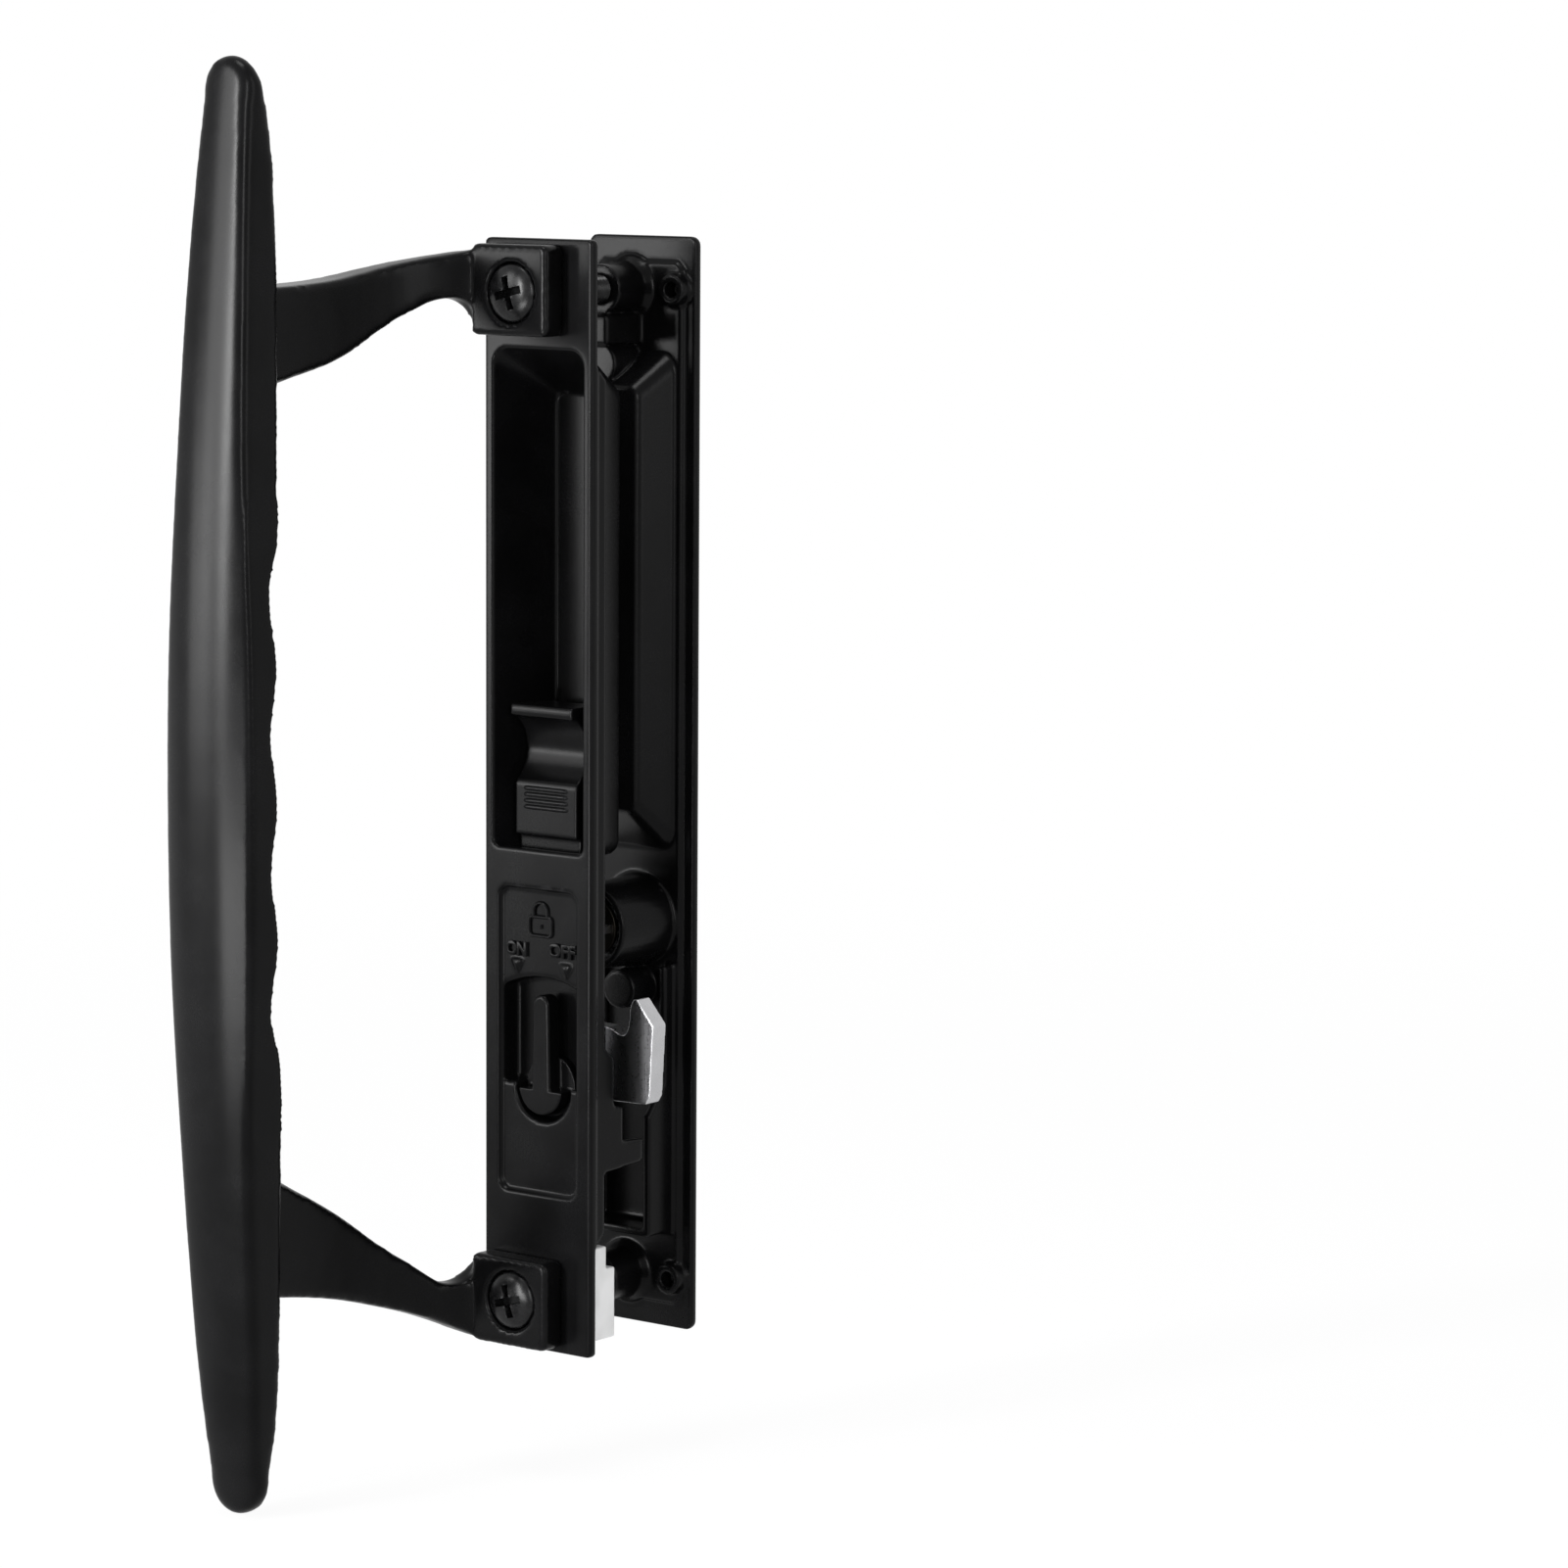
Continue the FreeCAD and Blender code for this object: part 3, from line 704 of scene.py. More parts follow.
@dataclass
class TurnedRow:
    """A row of equal turned fasteners, all along the door's thickness."""

    name: str
    first: Triple
    step: Triple
    count: int
    profile: Sequence[Pair]
    drive: Drive = Drive.NONE
    drive_length: float = 0.0
    drive_width: float = 0.0
    drive_floor: float = 0.0
    sides: int = 32
    turn: float = 0.0
    sharp: float = 35.0

    def mesh(self, material: bpy.types.Material) -> bpy.types.Mesh:
        """Turns the profile, cuts the drive and sets the row.

        Args:
            material: the fasteners' finish.

        Returns:
            The row's mesh.
        """
        tree = GeoTree(self.name)
        scale = tree.size("Scale", MM)
        solid = self._lathe(tree)
        if self.drive is not Drive.NONE:
            solid = self._cut_drive(tree, solid)
        small = tree.add("ShaderNodeCombineXYZ", {}, {0: scale, 1: scale, 2: scale})
        solid = tree.add("GeometryNodeTransform", {}, {"Geometry": solid, "Scale": small})
        start = tree.size("First", [v * MM for v in self.first], "NodeSocketVector")
        pitch = tree.size("Step", [v * MM for v in self.step], "NodeSocketVector")
        count = tree.size("Count", self.count, "NodeSocketInt")
        spots = {"Count": count, "Start Location": start, "Offset": pitch}
        line = tree.add("GeometryNodeMeshLine", {}, spots)
        angle = tree.size("Turn", math.radians(self.turn))
        spin = tree.add("ShaderNodeCombineXYZ", {}, {1: angle})
        solid = tree.add("GeometryNodeTransform", {}, {"Geometry": solid, "Rotation": spin})
        placed = tree.add("GeometryNodeInstanceOnPoints", {}, {"Points": line, "Instance": solid})
        return tree.solve(placed, material)

    def build(self, finishes: Finishes, name: str, body: Body, slot: Slot, node: str) -> None:
        """Makes the row a piece that moves with a body and stands for a CAD node."""
        piece = new_piece(name, self.mesh(finishes[slot]), finishes[slot])
        smooth_by_angle(piece.data, self.sharp)
        seat(piece, body, slot, node)

    def _lathe(self, tree: GeoTree) -> bpy.types.NodeSocket:
        """Spins the profile round the depth axis into one closed fastener, in millimetres."""
        rows = len(self.profile)
        sheet = {"Size X": 1.0, "Size Y": 1.0, "Vertices X": self.sides + 1, "Vertices Y": rows}
        grid = tree.add("GeometryNodeMeshGrid", {}, sheet)
        spot = tree.add("GeometryNodeInputPosition", {}, {})
        split = tree.tree.nodes.new("ShaderNodeSeparateXYZ")
        tree.put(split.inputs[0], spot)
        turn = tree.math("MULTIPLY", tree.math("ADD", split.outputs[0], 0.5), 2.0 * math.pi)
        place = tree.math("MULTIPLY", tree.math("ADD", split.outputs[1], 0.5), float(rows - 1))
        pick = tree.tree.nodes.new("GeometryNodeIndexSwitch")
        pick.data_type = "VECTOR"
        while len(pick.index_switch_items) < rows:
            pick.index_switch_items.new()
        tree.put(pick.inputs[0], tree.math("ROUND", place))
        for row, (radius, depth) in enumerate(self.profile):
            pick.inputs[row + 1].default_value = (radius, depth, 0.0)
        cut = tree.tree.nodes.new("ShaderNodeSeparateXYZ")
        tree.put(cut.inputs[0], pick.outputs[0])
        across = tree.math("MULTIPLY", cut.outputs[0], tree.math("COSINE", turn))
        upward = tree.math("MULTIPLY", cut.outputs[0], tree.math("SINE", turn))
        spun = tree.add("ShaderNodeCombineXYZ", {}, {0: across, 1: cut.outputs[1], 2: upward})
        solid = tree.add("GeometryNodeSetPosition", {}, {"Geometry": grid, "Position": spun})
        return tree.add("GeometryNodeMergeByDistance", {}, {"Geometry": solid, "Distance": 0.0005})

    def _cut_drive(self, tree: GeoTree, solid: bpy.types.NodeSocket) -> bpy.types.NodeSocket:
        """Cuts a slot or a cross into the head.

        Args:
            tree: the tree that is being built.
            solid: the turned head.

        Returns:
            The head with its drive.
        """
        length = tree.size("Drive length", self.drive_length)
        width = tree.size("Drive width", self.drive_width)
        sizes = [(length, width)] if self.drive is Drive.SLOT else [(length, width), (width, length)]
        tall = 6.0
        sign = 1.0 if self.profile[0][1] > self.profile[-1][1] else -1.0
        spot = (0.0, self.drive_floor + sign * tall / 2.0, 0.0)
        tools = []
        for across, upward in sizes:
            size = tree.add("ShaderNodeCombineXYZ", {}, {0: across, 1: tall, 2: upward})
            block = tree.add("GeometryNodeMeshCube", {}, {"Size": size})
            tools.append(tree.add("GeometryNodeTransform", {}, {"Geometry": block, "Translation": spot}))
        settings = {"operation": "DIFFERENCE", "solver": "EXACT"}
        return tree.add("GeometryNodeMeshBoolean", settings, {0: solid, 1: tools})


@dataclass
class Coil:
    """The latch's compression spring."""

    centre: Triple = (-6.4, 7.6, -63.59)
    turns: float = 5.0
    radius: float = 1.9
    height: float = 11.18
    wire: float = 0.36
    turn_steps: int = 40
    wire_sides: int = 12

    def mesh(self, material: bpy.types.Material) -> bpy.types.Mesh:
        """Winds the wire along a spiral.

        Args:
            material: the wire's finish.

        Returns:
            The coil's mesh.
        """
        tree = GeoTree("latch_coil")
        radius = tree.size("Coil radius", self.radius * MM)
        height = tree.size("Free length", self.height * MM)
        turns = tree.size("Turns", self.turns)
        wire = tree.size("Wire radius", self.wire * MM)
        inputs = {"Resolution": self.turn_steps, "Rotations": turns, "Height": height}
        inputs |= {"Start Radius": radius, "End Radius": radius}
        path = tree.add("GeometryNodeCurveSpiral", {}, inputs)
        section = {"Resolution": self.wire_sides, "Radius": wire}
        ring = tree.add("GeometryNodeCurvePrimitiveCircle", {}, section)
        sweep = {"Curve": path, "Profile Curve": ring, "Fill Caps": True}
        wound = tree.add("GeometryNodeCurveToMesh", {}, sweep)
        spot = tuple(v * MM for v in self.centre)
        wound = tree.add("GeometryNodeTransform", {}, {"Geometry": wound, "Translation": spot})
        return tree.solve(wound, material)


@dataclass
class GripRibs:
    """Raised ribs across the face of the thumb slide."""

    centre: Triple = (0.0, 0.42, 0.12)
    length: float = 9.6
    radius: float = 0.42
    pitch: float = 1.05
    count: int = 4

    def mesh(self, material: bpy.types.Material) -> bpy.types.Mesh:
        """Repeats one half-round rib down the face.

        Args:
            material: the casting's finish.

        Returns:
            The ribs' mesh.
        """
        tree = GeoTree("slide_ribs")
        length = tree.size("Rib length", self.length * MM)
        radius = tree.size("Rib radius", self.radius * MM)
        pitch = tree.size("Pitch", self.pitch * MM)
        count = tree.size("Count", self.count, "NodeSocketInt")
        half = tree.math("MULTIPLY", length, 0.5)
        left = tree.add("ShaderNodeCombineXYZ", {}, {0: tree.math("MULTIPLY", half, -1.0)})
        right = tree.add("ShaderNodeCombineXYZ", {}, {0: half})
        run = tree.add("GeometryNodeCurvePrimitiveLine", {}, {"Start": left, "End": right})
        run = tree.add("GeometryNodeResampleCurve", {}, {"Curve": run, "Count": 25})
        along = tree.add("GeometryNodeSplineParameter", {}, {}, "Factor")
        side = tree.math("SUBTRACT", tree.math("MULTIPLY", along, 2.0), 1.0)
        taper = tree.math("SUBTRACT", 1.0, tree.math("POWER", tree.math("ABSOLUTE", side), 16.0))
        taper = tree.math("SQRT", tree.math("MAXIMUM", taper, 0.02))
        ring = tree.add("GeometryNodeCurvePrimitiveCircle", {}, {"Resolution": 16, "Radius": radius})
        inputs = {"Curve": run, "Profile Curve": ring, "Scale": taper, "Fill Caps": True}
        rib = tree.add("GeometryNodeCurveToMesh", {}, inputs)
        drop = self.pitch * (self.count - 1) / 2.0
        start = (self.centre[0] * MM, self.centre[1] * MM, (self.centre[2] - drop) * MM)
        offset = tree.add("ShaderNodeCombineXYZ", {}, {2: pitch})
        spots = {"Count": count, "Start Location": start, "Offset": offset}
        line = tree.add("GeometryNodeMeshLine", {}, spots)
        placed = tree.add("GeometryNodeInstanceOnPoints", {}, {"Points": line, "Instance": rib})
        return tree.solve(placed, material)


# Sub-assemblies


@dataclass
class Pull:
    """The arched pull: one casting with two swept arms and two feet."""

    voxel: float = 0.50
    passes: int = 5
    foot_band: Pair = (-14.0, -10.3)
    foot_reach: float = -20.0
    fillet_passes: int = 12
    tips: Pair = (122.6, -114.2)
    tip_steps: tuple[tuple[float, int], ...] = ((24.0, 3), (17.0, 5), (12.0, 8), (8.0, 8))
    grip_side: float = -12.5
    grip_passes: int = 12

    def build(self, finishes: Finishes) -> None:
        """Casts the pull."""
        mesh = cast_copy("pull_handle", self.voxel, self.passes, hug=True)
        self._fillet(mesh)
        piece = new_piece("pull_casting", mesh, finishes[Slot.CASTING])
        seat(piece, Body.FRAME, Slot.CASTING, "pull_handle")

    def _fillet(self, mesh: bpy.types.Mesh) -> None:
        """Rounds the corners between arms and feet, the edges that a hand holds, and the bar's tips.

        Args:
            mesh: the pull's mesh, changed in place.
        """
        work = bmesh.new()
        work.from_mesh(mesh)
        left, right = (v * MM for v in self.foot_band)
        reach = self.foot_reach * MM
        corners = [v for v in work.verts if left < v.co.x < right and v.co.y > reach]
        self._rub(work, corners, self.fillet_passes)
        held = [v for v in work.verts if v.co.x < self.grip_side * MM]
        self._rub(work, held, self.grip_passes)
        for span, passes in self.tip_steps:
            high = (self.tips[0] - span) * MM
            low = (self.tips[1] + span) * MM
            self._rub(work, [v for v in work.verts if v.co.z > high or v.co.z < low], passes)
        work.to_mesh(mesh)
        work.free()

    def _rub(self, work: bmesh.types.BMesh, verts: list[bmesh.types.BMVert], passes: int) -> None:
        """Rubs some of the casting smooth.

        Args:
            work: the pull's mesh.
            verts: the vertices that move.
            passes: how often.
        """
        axes = {"use_axis_x": True, "use_axis_y": True, "use_axis_z": True}
        for _ in range(passes):
            bmesh.ops.smooth_vert(work, verts=verts, factor=0.5, **axes)


@dataclass
class InsidePlate:
    """The inside escutcheon with its raised marks."""

    plate: Casting = Casting("inside_plate", "front_plate", Body.FRAME, Slot.CASTING, 0.34, 2, 0.66)
    panel_y: float = -1.0
    on_at: Pair = (-4.9, -26.5)
    off_at: Pair = (5.0, -26.1)
    word_width: Pair = (4.4, 5.9)
    letter: float = 2.5
    stand: float = 0.55
    line: float = 0.36
    line_sides: int = 10
    lock_at: Pair = (0.2, -19.6)
    case_half: Pair = (1.7, 0.9)
    case_corner: float = 0.7
    case_drop: float = 1.5
    bow_r: float = 1.45
    bow_rise: float = 1.0
    bow_foot: float = 0.1
    keyhole: Pair = (1.15, 1.9)
    sharp: float = 40.0

    def build(self, finishes: Finishes) -> None:
        """Casts the plate and raises its marks."""
        self.plate.build(finishes)
        marks = {
            "mark_on": self._letters("ON", self.on_at, self.word_width[0]),
            "mark_off": self._letters("OFF", self.off_at, self.word_width[1]),
            "mark_padlock": self._padlock(),
        }
        for name, mesh in marks.items():
            piece = new_piece(name, mesh, finishes[Slot.CASTING])
            smooth_by_angle(piece.data, self.sharp)
            seat(piece, Body.FRAME, Slot.CASTING)

    def _letters(self, word: str, spot: Pair, width: float) -> bpy.types.Mesh:
        """Raised letters that stand on the panel.

        Args:
            word: ON or OFF.
            spot: middle of the word's foot, x and z in millimetres.
            width: the word's width.

        Returns:
            The letters' mesh.
        """
        text = bpy.data.curves.new(word, "FONT")
        text.body = word
        text.size = 3.0
        text.extrude = 0.30
        text.bevel_depth = 0.12
        text.bevel_resolution = 2
        text.offset = 0.05
        carrier = bpy.data.objects.new(word, text)
        bpy.context.scene.collection.objects.link(carrier)
        mesh = evaluated(carrier)
        points = [v.co for v in mesh.vertices]
        low = [min(p[k] for p in points) for k in range(3)]
        high = [max(p[k] for p in points) for k in range(3)]
        fit = Matrix.Diagonal((width / (high[0] - low[0]), self.letter / (high[1] - low[1]), 1.0, 1.0))
        centre = Matrix.Translation((-(low[0] + high[0]) / 2, -low[1], self.stand - high[2]))
        place = Matrix.Translation((spot[0] * MM, self.panel_y * MM, spot[1] * MM))
        mesh.transform(place @ Matrix.Rotation(math.pi / 2, 4, "X") @ Matrix.Scale(MM, 4) @ fit @ centre)
        return outward(mesh)

    def _padlock(self) -> bpy.types.Mesh:
        """A plain padlock sign in raised strokes on the panel."""
        work = bmesh.new()
        x, z = self.lock_at
        middle = z - self.case_drop
        wide, tall = self.case_half
        corner = self.case_corner
        case = []
        for turn, (cx, cz) in enumerate(((wide, tall), (-wide, tall), (-wide, -tall), (wide, -tall))):
            for step in range(5):
                a = math.radians(turn * 90 + step * 22.5)
                case.append((x + cx + corner * math.cos(a), middle + cz + corner * math.sin(a)))
        radius = self.bow_r
        bow = [(x + radius, z + self.bow_foot)]
        for angle in range(0, 181, 15):
            a = math.radians(angle)
            bow.append((x + radius * math.cos(a), z + self.bow_rise + radius * math.sin(a)))
        bow.append((x - radius, z + self.bow_foot))
        keyhole = [(x, z - self.keyhole[0]), (x, middle), (x, z - self.keyhole[1])]
        self._stroke(work, case, closed=True)
        self._stroke(work, bow, closed=False)
        self._stroke(work, keyhole, closed=False)
        for vert in work.verts:
            vert.co *= MM
        bmesh.ops.recalc_face_normals(work, faces=work.faces)
        mesh = bpy.data.meshes.new("padlock")
        work.to_mesh(mesh)
        work.free()
        return mesh

    def _stroke(self, work: bmesh.types.BMesh, path: list[Pair], closed: bool) -> None:
        """Sweeps one rounded line along a path on the panel.

        Args:
            work: the sign's mesh.
            path: points as x and z in millimetres.
            closed: whether the line runs back to its start.
        """
        count = len(path)
        sides = self.line_sides
        rings = []
        for i, (px, pz) in enumerate(path):
            ahead = path[(i + 1) % count] if closed else path[min(i + 1, count - 1)]
            behind = path[i - 1] if closed else path[max(i - 1, 0)]
            way = Vector((ahead[0] - behind[0], ahead[1] - behind[1])).normalized()
            rim = []
            for k in range(sides):
                a = 2 * math.pi * k / sides
                out = self.line * math.cos(a)
                lift = self.panel_y + self.stand * math.sin(a)
                rim.append(work.verts.new((px - way.y * out, lift, pz + way.x * out)))
            rings.append(rim)
        pairs = list(zip(rings, rings[1:]))
        if closed:
            pairs.append((rings[-1], rings[0]))
        for first, second in pairs:
            for k in range(sides):
                after = (k + 1) % sides
                work.faces.new((first[k], first[after], second[after], second[k]))
        if not closed:
            work.faces.new(rings[0])
            work.faces.new(list(reversed(rings[-1])))


# The outside escutcheon with posts, cylinder housing and lock box
OUTSIDE_PLATE = Casting("outside_plate", "rear_plate", Body.FRAME, Slot.CASTING, 0.34, 2, 0.62)


@dataclass
class Mounting:
    """The two through screws and the spacer round the lower one."""

    x: float = -2.1
    z: float = 84.15
    seat_y: float = -4.6
    head_r: float = 4.8
    head_h: float = 2.7
    edge_h: float = 1.2
    shank_r: float = 2.4
    tip_y: float = 26.0
    thread_from: float = 14.0
    thread_pitch: float = 0.8
    thread_depth: float = 0.32
    block: Casting = Casting("spacer_block", "lower_spacer", Body.FRAME, Slot.PLASTIC, 0.25, 2)

    def profile(self) -> list[Pair]:
        """Outline of a pan head screw from the head's middle to its tip, as radius and depth."""
        points = []
        for step in range(13):
            a = math.radians(step * 90 / 12)
            rise = (self.head_h - self.edge_h) * math.cos(a) ** 1.1
            points.append((self.head_r * math.sin(a) ** 0.9, -self.edge_h - rise))
        head, shank = self.head_r, self.shank_r
        points += [(head, -0.45), (head - 0.12, -0.12), (head - 0.4, 0.0), (shank, 0.0)]
        length = self.tip_y - self.seat_y
        depth = self.thread_from
        while depth < length - 1.0:
            root = depth + self.thread_pitch / 2.0
            points += [(shank, depth), (shank - self.thread_depth, root)]
            depth += self.thread_pitch
        points += [(shank - 0.2, length - 0.6), (shank - 0.8, length), (0.0, length)]
        return points

    def build(self, finishes: Finishes) -> None:
        """Turns the screws and moulds the spacer."""
        row = TurnedRow(
            "mounting_row", (self.x, self.seat_y, -self.z), (0.0, 0.0, 2 * self.z), 2, self.profile(),
            Drive.CROSS, drive_length=5.6, drive_width=1.35, drive_floor=-0.3,
            sides=48, turn=-14.0, sharp=32.0,
        )
        row.build(finishes, "mounting_pair", Body.FRAME, Slot.SCREW, "mounting_screws")
        self.block.build(finishes)


@dataclass
class Latch:
    """Thumb slide, strip and hook, one sliding body."""

    strip_y: float = 8.6
    hook_back: float = 12.0
    dome: Pair = (2.6, 1.1)

    def build(self, finishes: Finishes) -> None:
        """Casts the slide, stamps strip and hook, sets screws, rivets and spring."""
        Casting("slide_casting", "thumb_slide", Body.LATCH, Slot.CASTING, 0.25, 3).build(finishes)
        ribs = new_piece("slide_ribs", GripRibs().mesh(finishes[Slot.CASTING]), finishes[Slot.CASTING])
        ribs.data.shade_smooth()
        seat(ribs, Body.LATCH, Slot.CASTING)
        Casting("hook_stamping", "latch_hook", Body.LATCH, Slot.ZINC, 0.18, 2).build(finishes)
        Casting("strip_stamping", "slide_bar", Body.LATCH, Slot.ZINC, 0.28, 1).build(finishes)
        screws = TurnedRow(
            "slide_row", (0.0, self.strip_y, 4.0), (0.0, 0.0, 8.0), 2, SLIDE_SCREW,
            Drive.SLOT, drive_length=6.0, drive_width=0.6, drive_floor=0.7,
        )
        screws.build(finishes, "slide_pair", Body.LATCH, Slot.ZINC, "slide_screws")
        first = (-2.5, self.hook_back, -45.0)
        rivets = TurnedRow("rivet_row", first, (6.0, 0.0, 0.0), 2, self.rivet_profile())
        rivets.build(finishes, "rivet_pair", Body.LATCH, Slot.ZINC, "hook_rivets")
        coil = new_piece("return_coil", Coil().mesh(finishes[Slot.SPRING]), finishes[Slot.SPRING])
        coil.data.shade_smooth()
        seat(coil, Body.FRAME, Slot.SPRING, "latch_spring")
        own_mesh(coil)
        dress_node("spring_pin", finishes[Slot.SPRING])
        self._guide(finishes)

    def rivet_profile(self) -> list[Pair]:
        """Outline of a domed rivet, as radius and depth."""
        angles = [math.radians(a) for a in range(0, 91, 10)]
        radius, height = self.dome
        return [(radius * math.sin(a) ** 0.9, height * math.cos(a)) for a in angles] + list(RIVET_SHANK)

    def _guide(self, finishes: Finishes) -> None:
        """The hold-down plate of the strip with its two screws."""
        Casting("guide_stamping", "bar_guide", Body.FRAME, Slot.ZINC, 0.2, 1).build(finishes)
        screws = TurnedRow(
            "guide_row", (-8.8, 9.9, -19.3), (0.0, 0.0, 5.6), 2, GUIDE_SCREW,
            Drive.SLOT, drive_length=6.0, drive_width=0.5, drive_floor=0.6,
        )
        screws.build(finishes, "guide_pair", Body.FRAME, Slot.ZINC, "guide_screws")


@dataclass
class NightLock:
    """Thumb lever with its cam and clip."""

    lever: Casting = Casting("lever_casting", "night_lock_lever", Body.NIGHT_LOCK, Slot.CASTING, 0.2, 3)
    cam: Casting = Casting("cam_stamping", "night_lock_cam", Body.NIGHT_LOCK, Slot.ZINC, 0.16, 1)

    def build(self, finishes: Finishes) -> None:
        """Casts the lever and dresses what it turns."""
        self.lever.build(finishes)
        self.cam.build(finishes)
        dress_node("cam_clip", finishes[Slot.SPRING])


@dataclass
class KeyCylinder:
    """Plug, wafers and tailpiece of the outside key lock."""

    plug: Casting = Casting("plug_turning", "key_plug", Body.KEY_CYLINDER, Slot.BRASS, 0.17, 1)
    blade: Casting = Casting("tail_blade", "cylinder_tailpiece", Body.KEY_CYLINDER, Slot.ZINC, 0.16, 1)

    def build(self, finishes: Finishes) -> None:
        """Turns the plug and dresses what it carries."""
        self.plug.build(finishes)
        self.blade.build(finishes)
        dress_node("wafer_tumblers", finishes[Slot.BRASS])
        dress_node("tailpiece_pin", finishes[Slot.SPRING])
        dress_node("plug_clip", finishes[Slot.SCREW])


@dataclass(frozen=True)
class SoftBox:
    """One soft box: where it stands, the point it faces, its width and height, and its watts."""

    name: str
    place: Triple
    aim: Triple
    size: Pair
    power: float

    def build(self) -> None:
        """Hangs the lamp."""
        data = bpy.data.lights.new(self.name, "AREA")
        data.shape = "RECTANGLE"
        data.size, data.size_y = self.size
        data.energy = self.power
        lamp = bpy.data.objects.new(self.name, data)
        bpy.context.scene.collection.objects.link(lamp)
        lamp.location = self.place
        lamp.rotation_mode = "QUATERNION"
        lamp.rotation_quaternion = (Vector(self.aim) - Vector(self.place)).to_track_quat("-Z", "Y")


LAMPS = (
    SoftBox("key_box", (-0.61, -1.15, 0.31), (-0.01, -0.03, 0.03), (0.60, 0.75), 18.1),
    SoftBox("core_box", (-0.34, -1.26, 0.23), (-0.01, -0.03, 0.03), (0.17, 0.52), 19.5),
    SoftBox("low_box", (-0.03, -0.38, -0.075), (-0.02, -0.05, -0.04), (0.17, 0.07), 0.825),
    SoftBox("plate_box", (-0.86, -1.00, -0.01), (0.0, 0.0, 0.0), (0.55, 0.18), 4.62),
    SoftBox("rim_box", (1.02, -0.80, 0.34), (0.0, 0.0, 0.0), (0.24, 0.6), 6.6),
    SoftBox("top_box", (0.05, -0.2, 1.2), (0.0, 0.0, 0.0), (0.4, 0.4), 5.77),
    SoftBox("edge_box", (0.95, 0.25, 0.35), (0.01, 0.01, -0.03), (0.22, 0.9), 1.98),
)


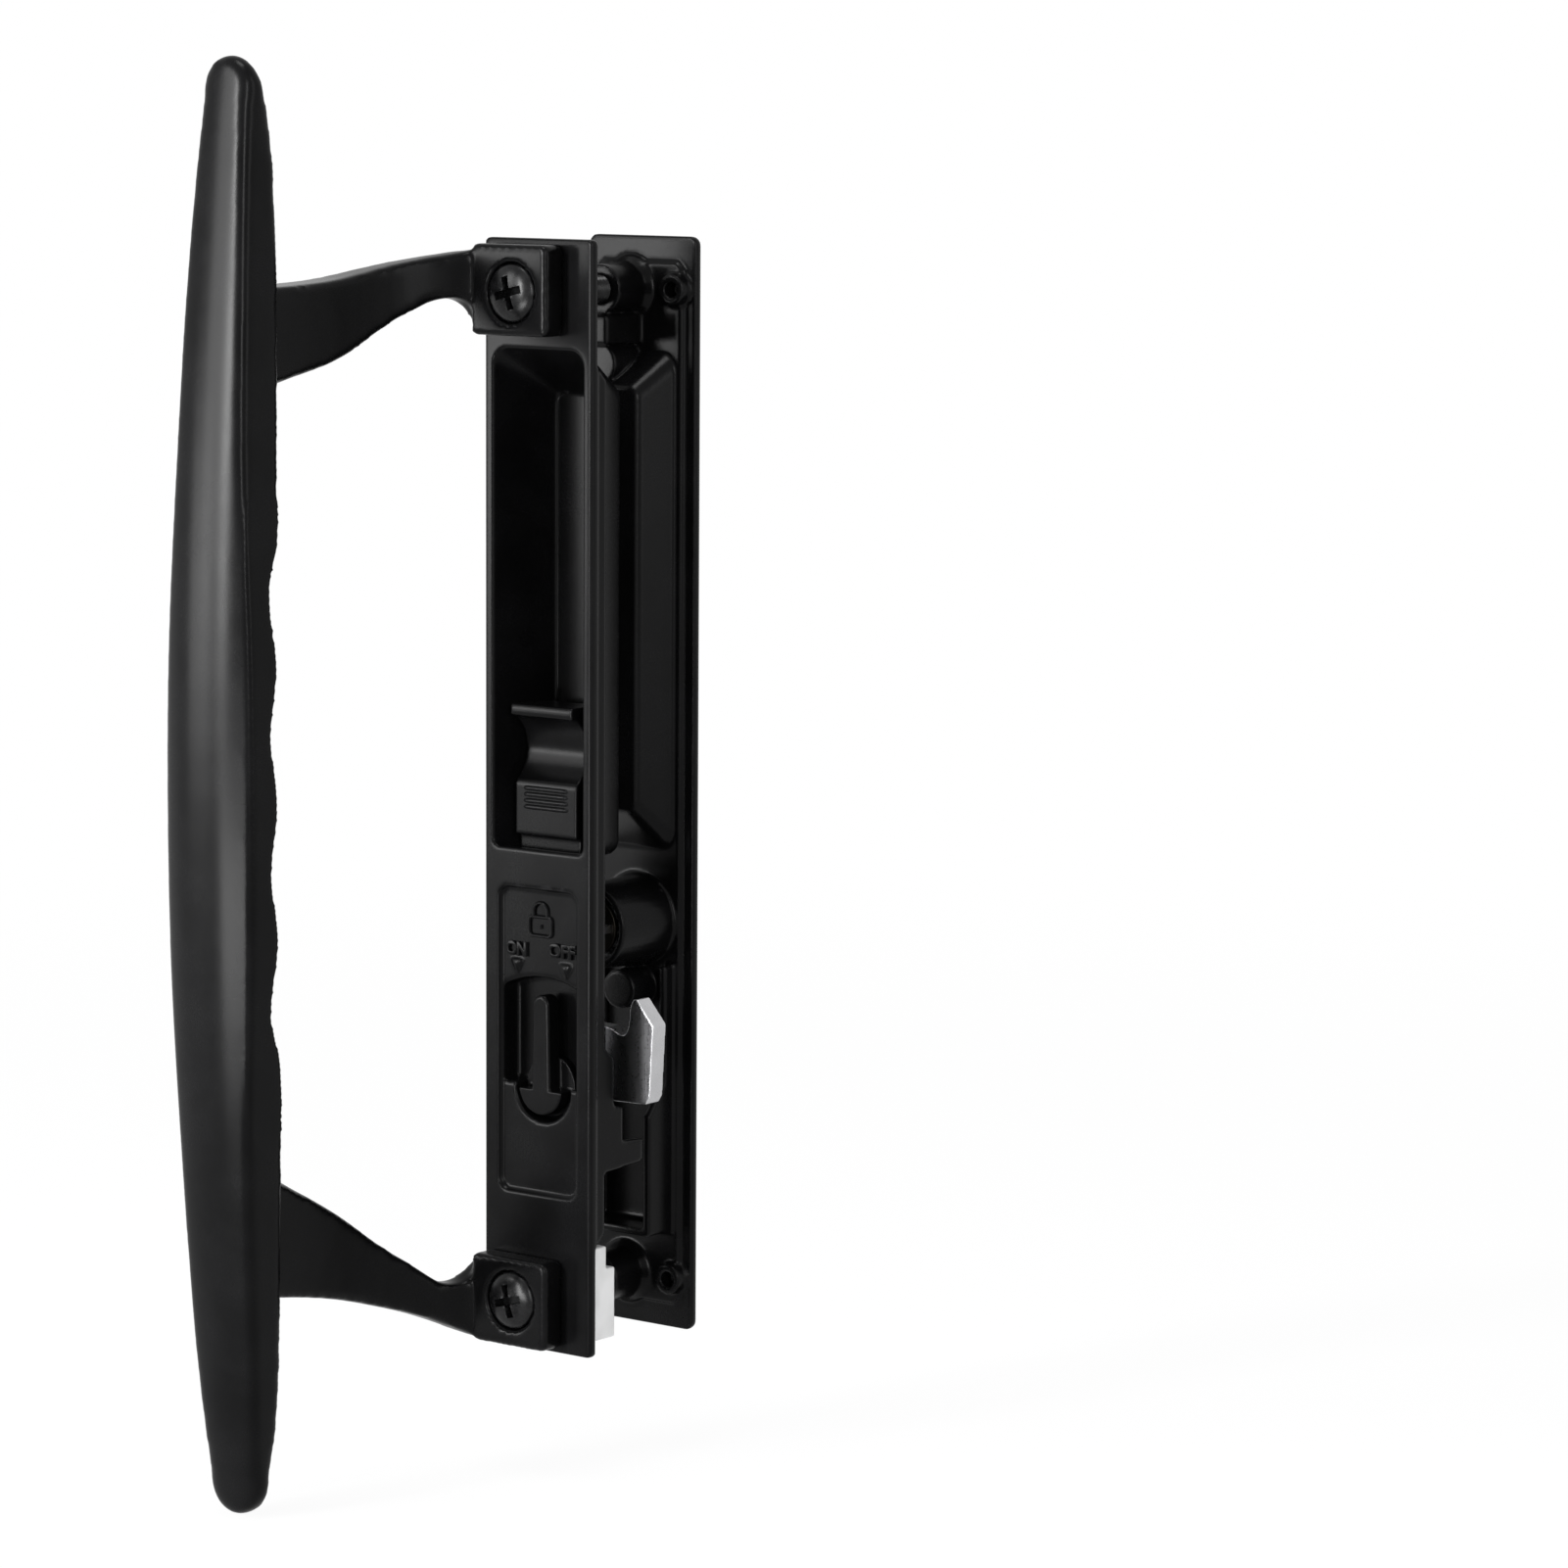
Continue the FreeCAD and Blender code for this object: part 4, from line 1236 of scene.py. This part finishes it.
@dataclass
class Studio:
    """Floor, light and camera."""

    floor_z: float = -0.1146
    floor_half: float = 8.0
    glow_reach: Pair = (0.16, 0.75)
    fill: float = 0.24
    eye: Triple = (0.58294, -0.69429, 0.11946)
    yaw: float = 37.50
    pitch: float = 7.33
    roll: float = 0.380
    lens: float = 126.17
    near_glow: float = 0.93

    def build(self) -> None:
        """Sets the whole studio."""
        bpy.context.scene.view_settings.view_transform = "Standard"
        self._world()
        self._floor()
        for lamp in LAMPS:
            lamp.build()
        self._camera()

    def _world(self) -> None:
        """White to the camera and to reflections, a soft grey fill to everything else."""
        world = bpy.data.worlds.new("studio_world")
        bpy.context.scene.world = world
        world.use_nodes = True
        tree = world.node_tree
        tree.nodes.clear()
        path = tree.nodes.new("ShaderNodeLightPath")
        either = tree.nodes.new("ShaderNodeMath")
        either.operation = "MAXIMUM"
        tree.links.new(path.outputs["Is Camera Ray"], either.inputs[0])
        tree.links.new(path.outputs["Is Transmission Ray"], either.inputs[1])
        shown = tree.nodes.new("ShaderNodeMath")
        shown.operation = "MAXIMUM"
        tree.links.new(either.outputs[0], shown.inputs[0])
        tree.links.new(path.outputs["Is Glossy Ray"], shown.inputs[1])
        fill = tree.nodes.new("ShaderNodeBackground")
        fill.inputs[0].default_value = (0.92, 0.94, 1.0, 1.0)
        fill.inputs[1].default_value = self.fill
        white = tree.nodes.new("ShaderNodeBackground")
        white.inputs[0].default_value = (1.0, 1.0, 1.0, 1.0)
        white.inputs[1].default_value = 1.0
        mix = tree.nodes.new("ShaderNodeMixShader")
        tree.links.new(shown.outputs[0], mix.inputs[0])
        tree.links.new(fill.outputs[0], mix.inputs[1])
        tree.links.new(white.outputs[0], mix.inputs[2])
        out = tree.nodes.new("ShaderNodeOutputWorld")
        tree.links.new(mix.outputs[0], out.inputs[0])

    def _floor(self) -> None:
        """A wide pale floor just under the pull's lower tip."""
        mesh = bpy.data.meshes.new("floor")
        half, z = self.floor_half, self.floor_z
        corners = [(-half, -half, z), (half, -half, z), (half, half, z), (-half, half, z)]
        mesh.from_pydata(corners, [], [(0, 1, 2, 3)])
        s = Shader("pale_floor")
        tone = s.blend(s.grain(120.0, 2.0).ramp(0.3, 0.7), (0.90, 0.90, 0.90), (0.92, 0.92, 0.92))
        s.finish(Base_Color=tone, Roughness=0.8, Specular_IOR_Level=0.1)
        path = s.tree.nodes.new("ShaderNodeLightPath")
        camera = Wave(s, path.outputs["Is Camera Ray"])
        glossy = Wave(s, path.outputs["Is Glossy Ray"])
        through = Wave(s, path.outputs["Is Transmission Ray"])
        seen = camera + glossy + through
        glow = s.add("ShaderNodeEmission", {}, {"Color": (1.0, 1.0, 1.0, 1.0), "Strength": 1.0})
        reach = s.add("ShaderNodeVectorMath", {"operation": "LENGTH"}, {0: s.place()}, "Value")
        far = reach.ramp(*self.glow_reach)
        share = far * (1.0 - self.near_glow) + self.near_glow
        mixed = s.add("ShaderNodeMixShader", {}, {0: seen * share, 1: s.base.outputs[0], 2: glow})
        s.tree.links.new(mixed.socket, s.output.inputs[0])
        mesh.materials.append(s.material)
        floor = bpy.data.objects.new("studio_floor", mesh)
        bpy.context.scene.collection.objects.link(floor)

    def _camera(self) -> None:
        """Stands the camera where the photograph was taken."""
        yaw, pitch, roll = (math.radians(a) for a in (self.yaw, self.pitch, self.roll))
        level = math.cos(pitch)
        look = Vector((-math.sin(yaw) * level, math.cos(yaw) * level, -math.sin(pitch)))
        right = Vector((math.cos(yaw), math.sin(yaw), 0.0))
        up = right.cross(look)
        side = right * math.cos(roll) + up * math.sin(roll)
        top = up * math.cos(roll) - right * math.sin(roll)
        data = bpy.data.cameras.new("photo_camera")
        data.lens = self.lens
        data.sensor_width = 36.0
        data.clip_start = 0.01
        data.clip_end = 50.0
        camera = bpy.data.objects.new("photo_camera", data)
        bpy.context.scene.collection.objects.link(camera)
        turn = Matrix((side, top, -look)).transposed().to_4x4()
        camera.matrix_world = Matrix.Translation(self.eye) @ turn
        bpy.context.scene.camera = camera


def main() -> None:
    """Builds every sub-assembly, then the studio."""
    logging.basicConfig(level=logging.INFO, format="%(name)s: %(message)s")
    finishes = Finishes().build()
    for part in (Pull(), InsidePlate(), OUTSIDE_PLATE, Mounting(), Latch(), NightLock(), KeyCylinder()):
        part.build(finishes)
    Studio().build()


if __name__ == "__main__":
    main()
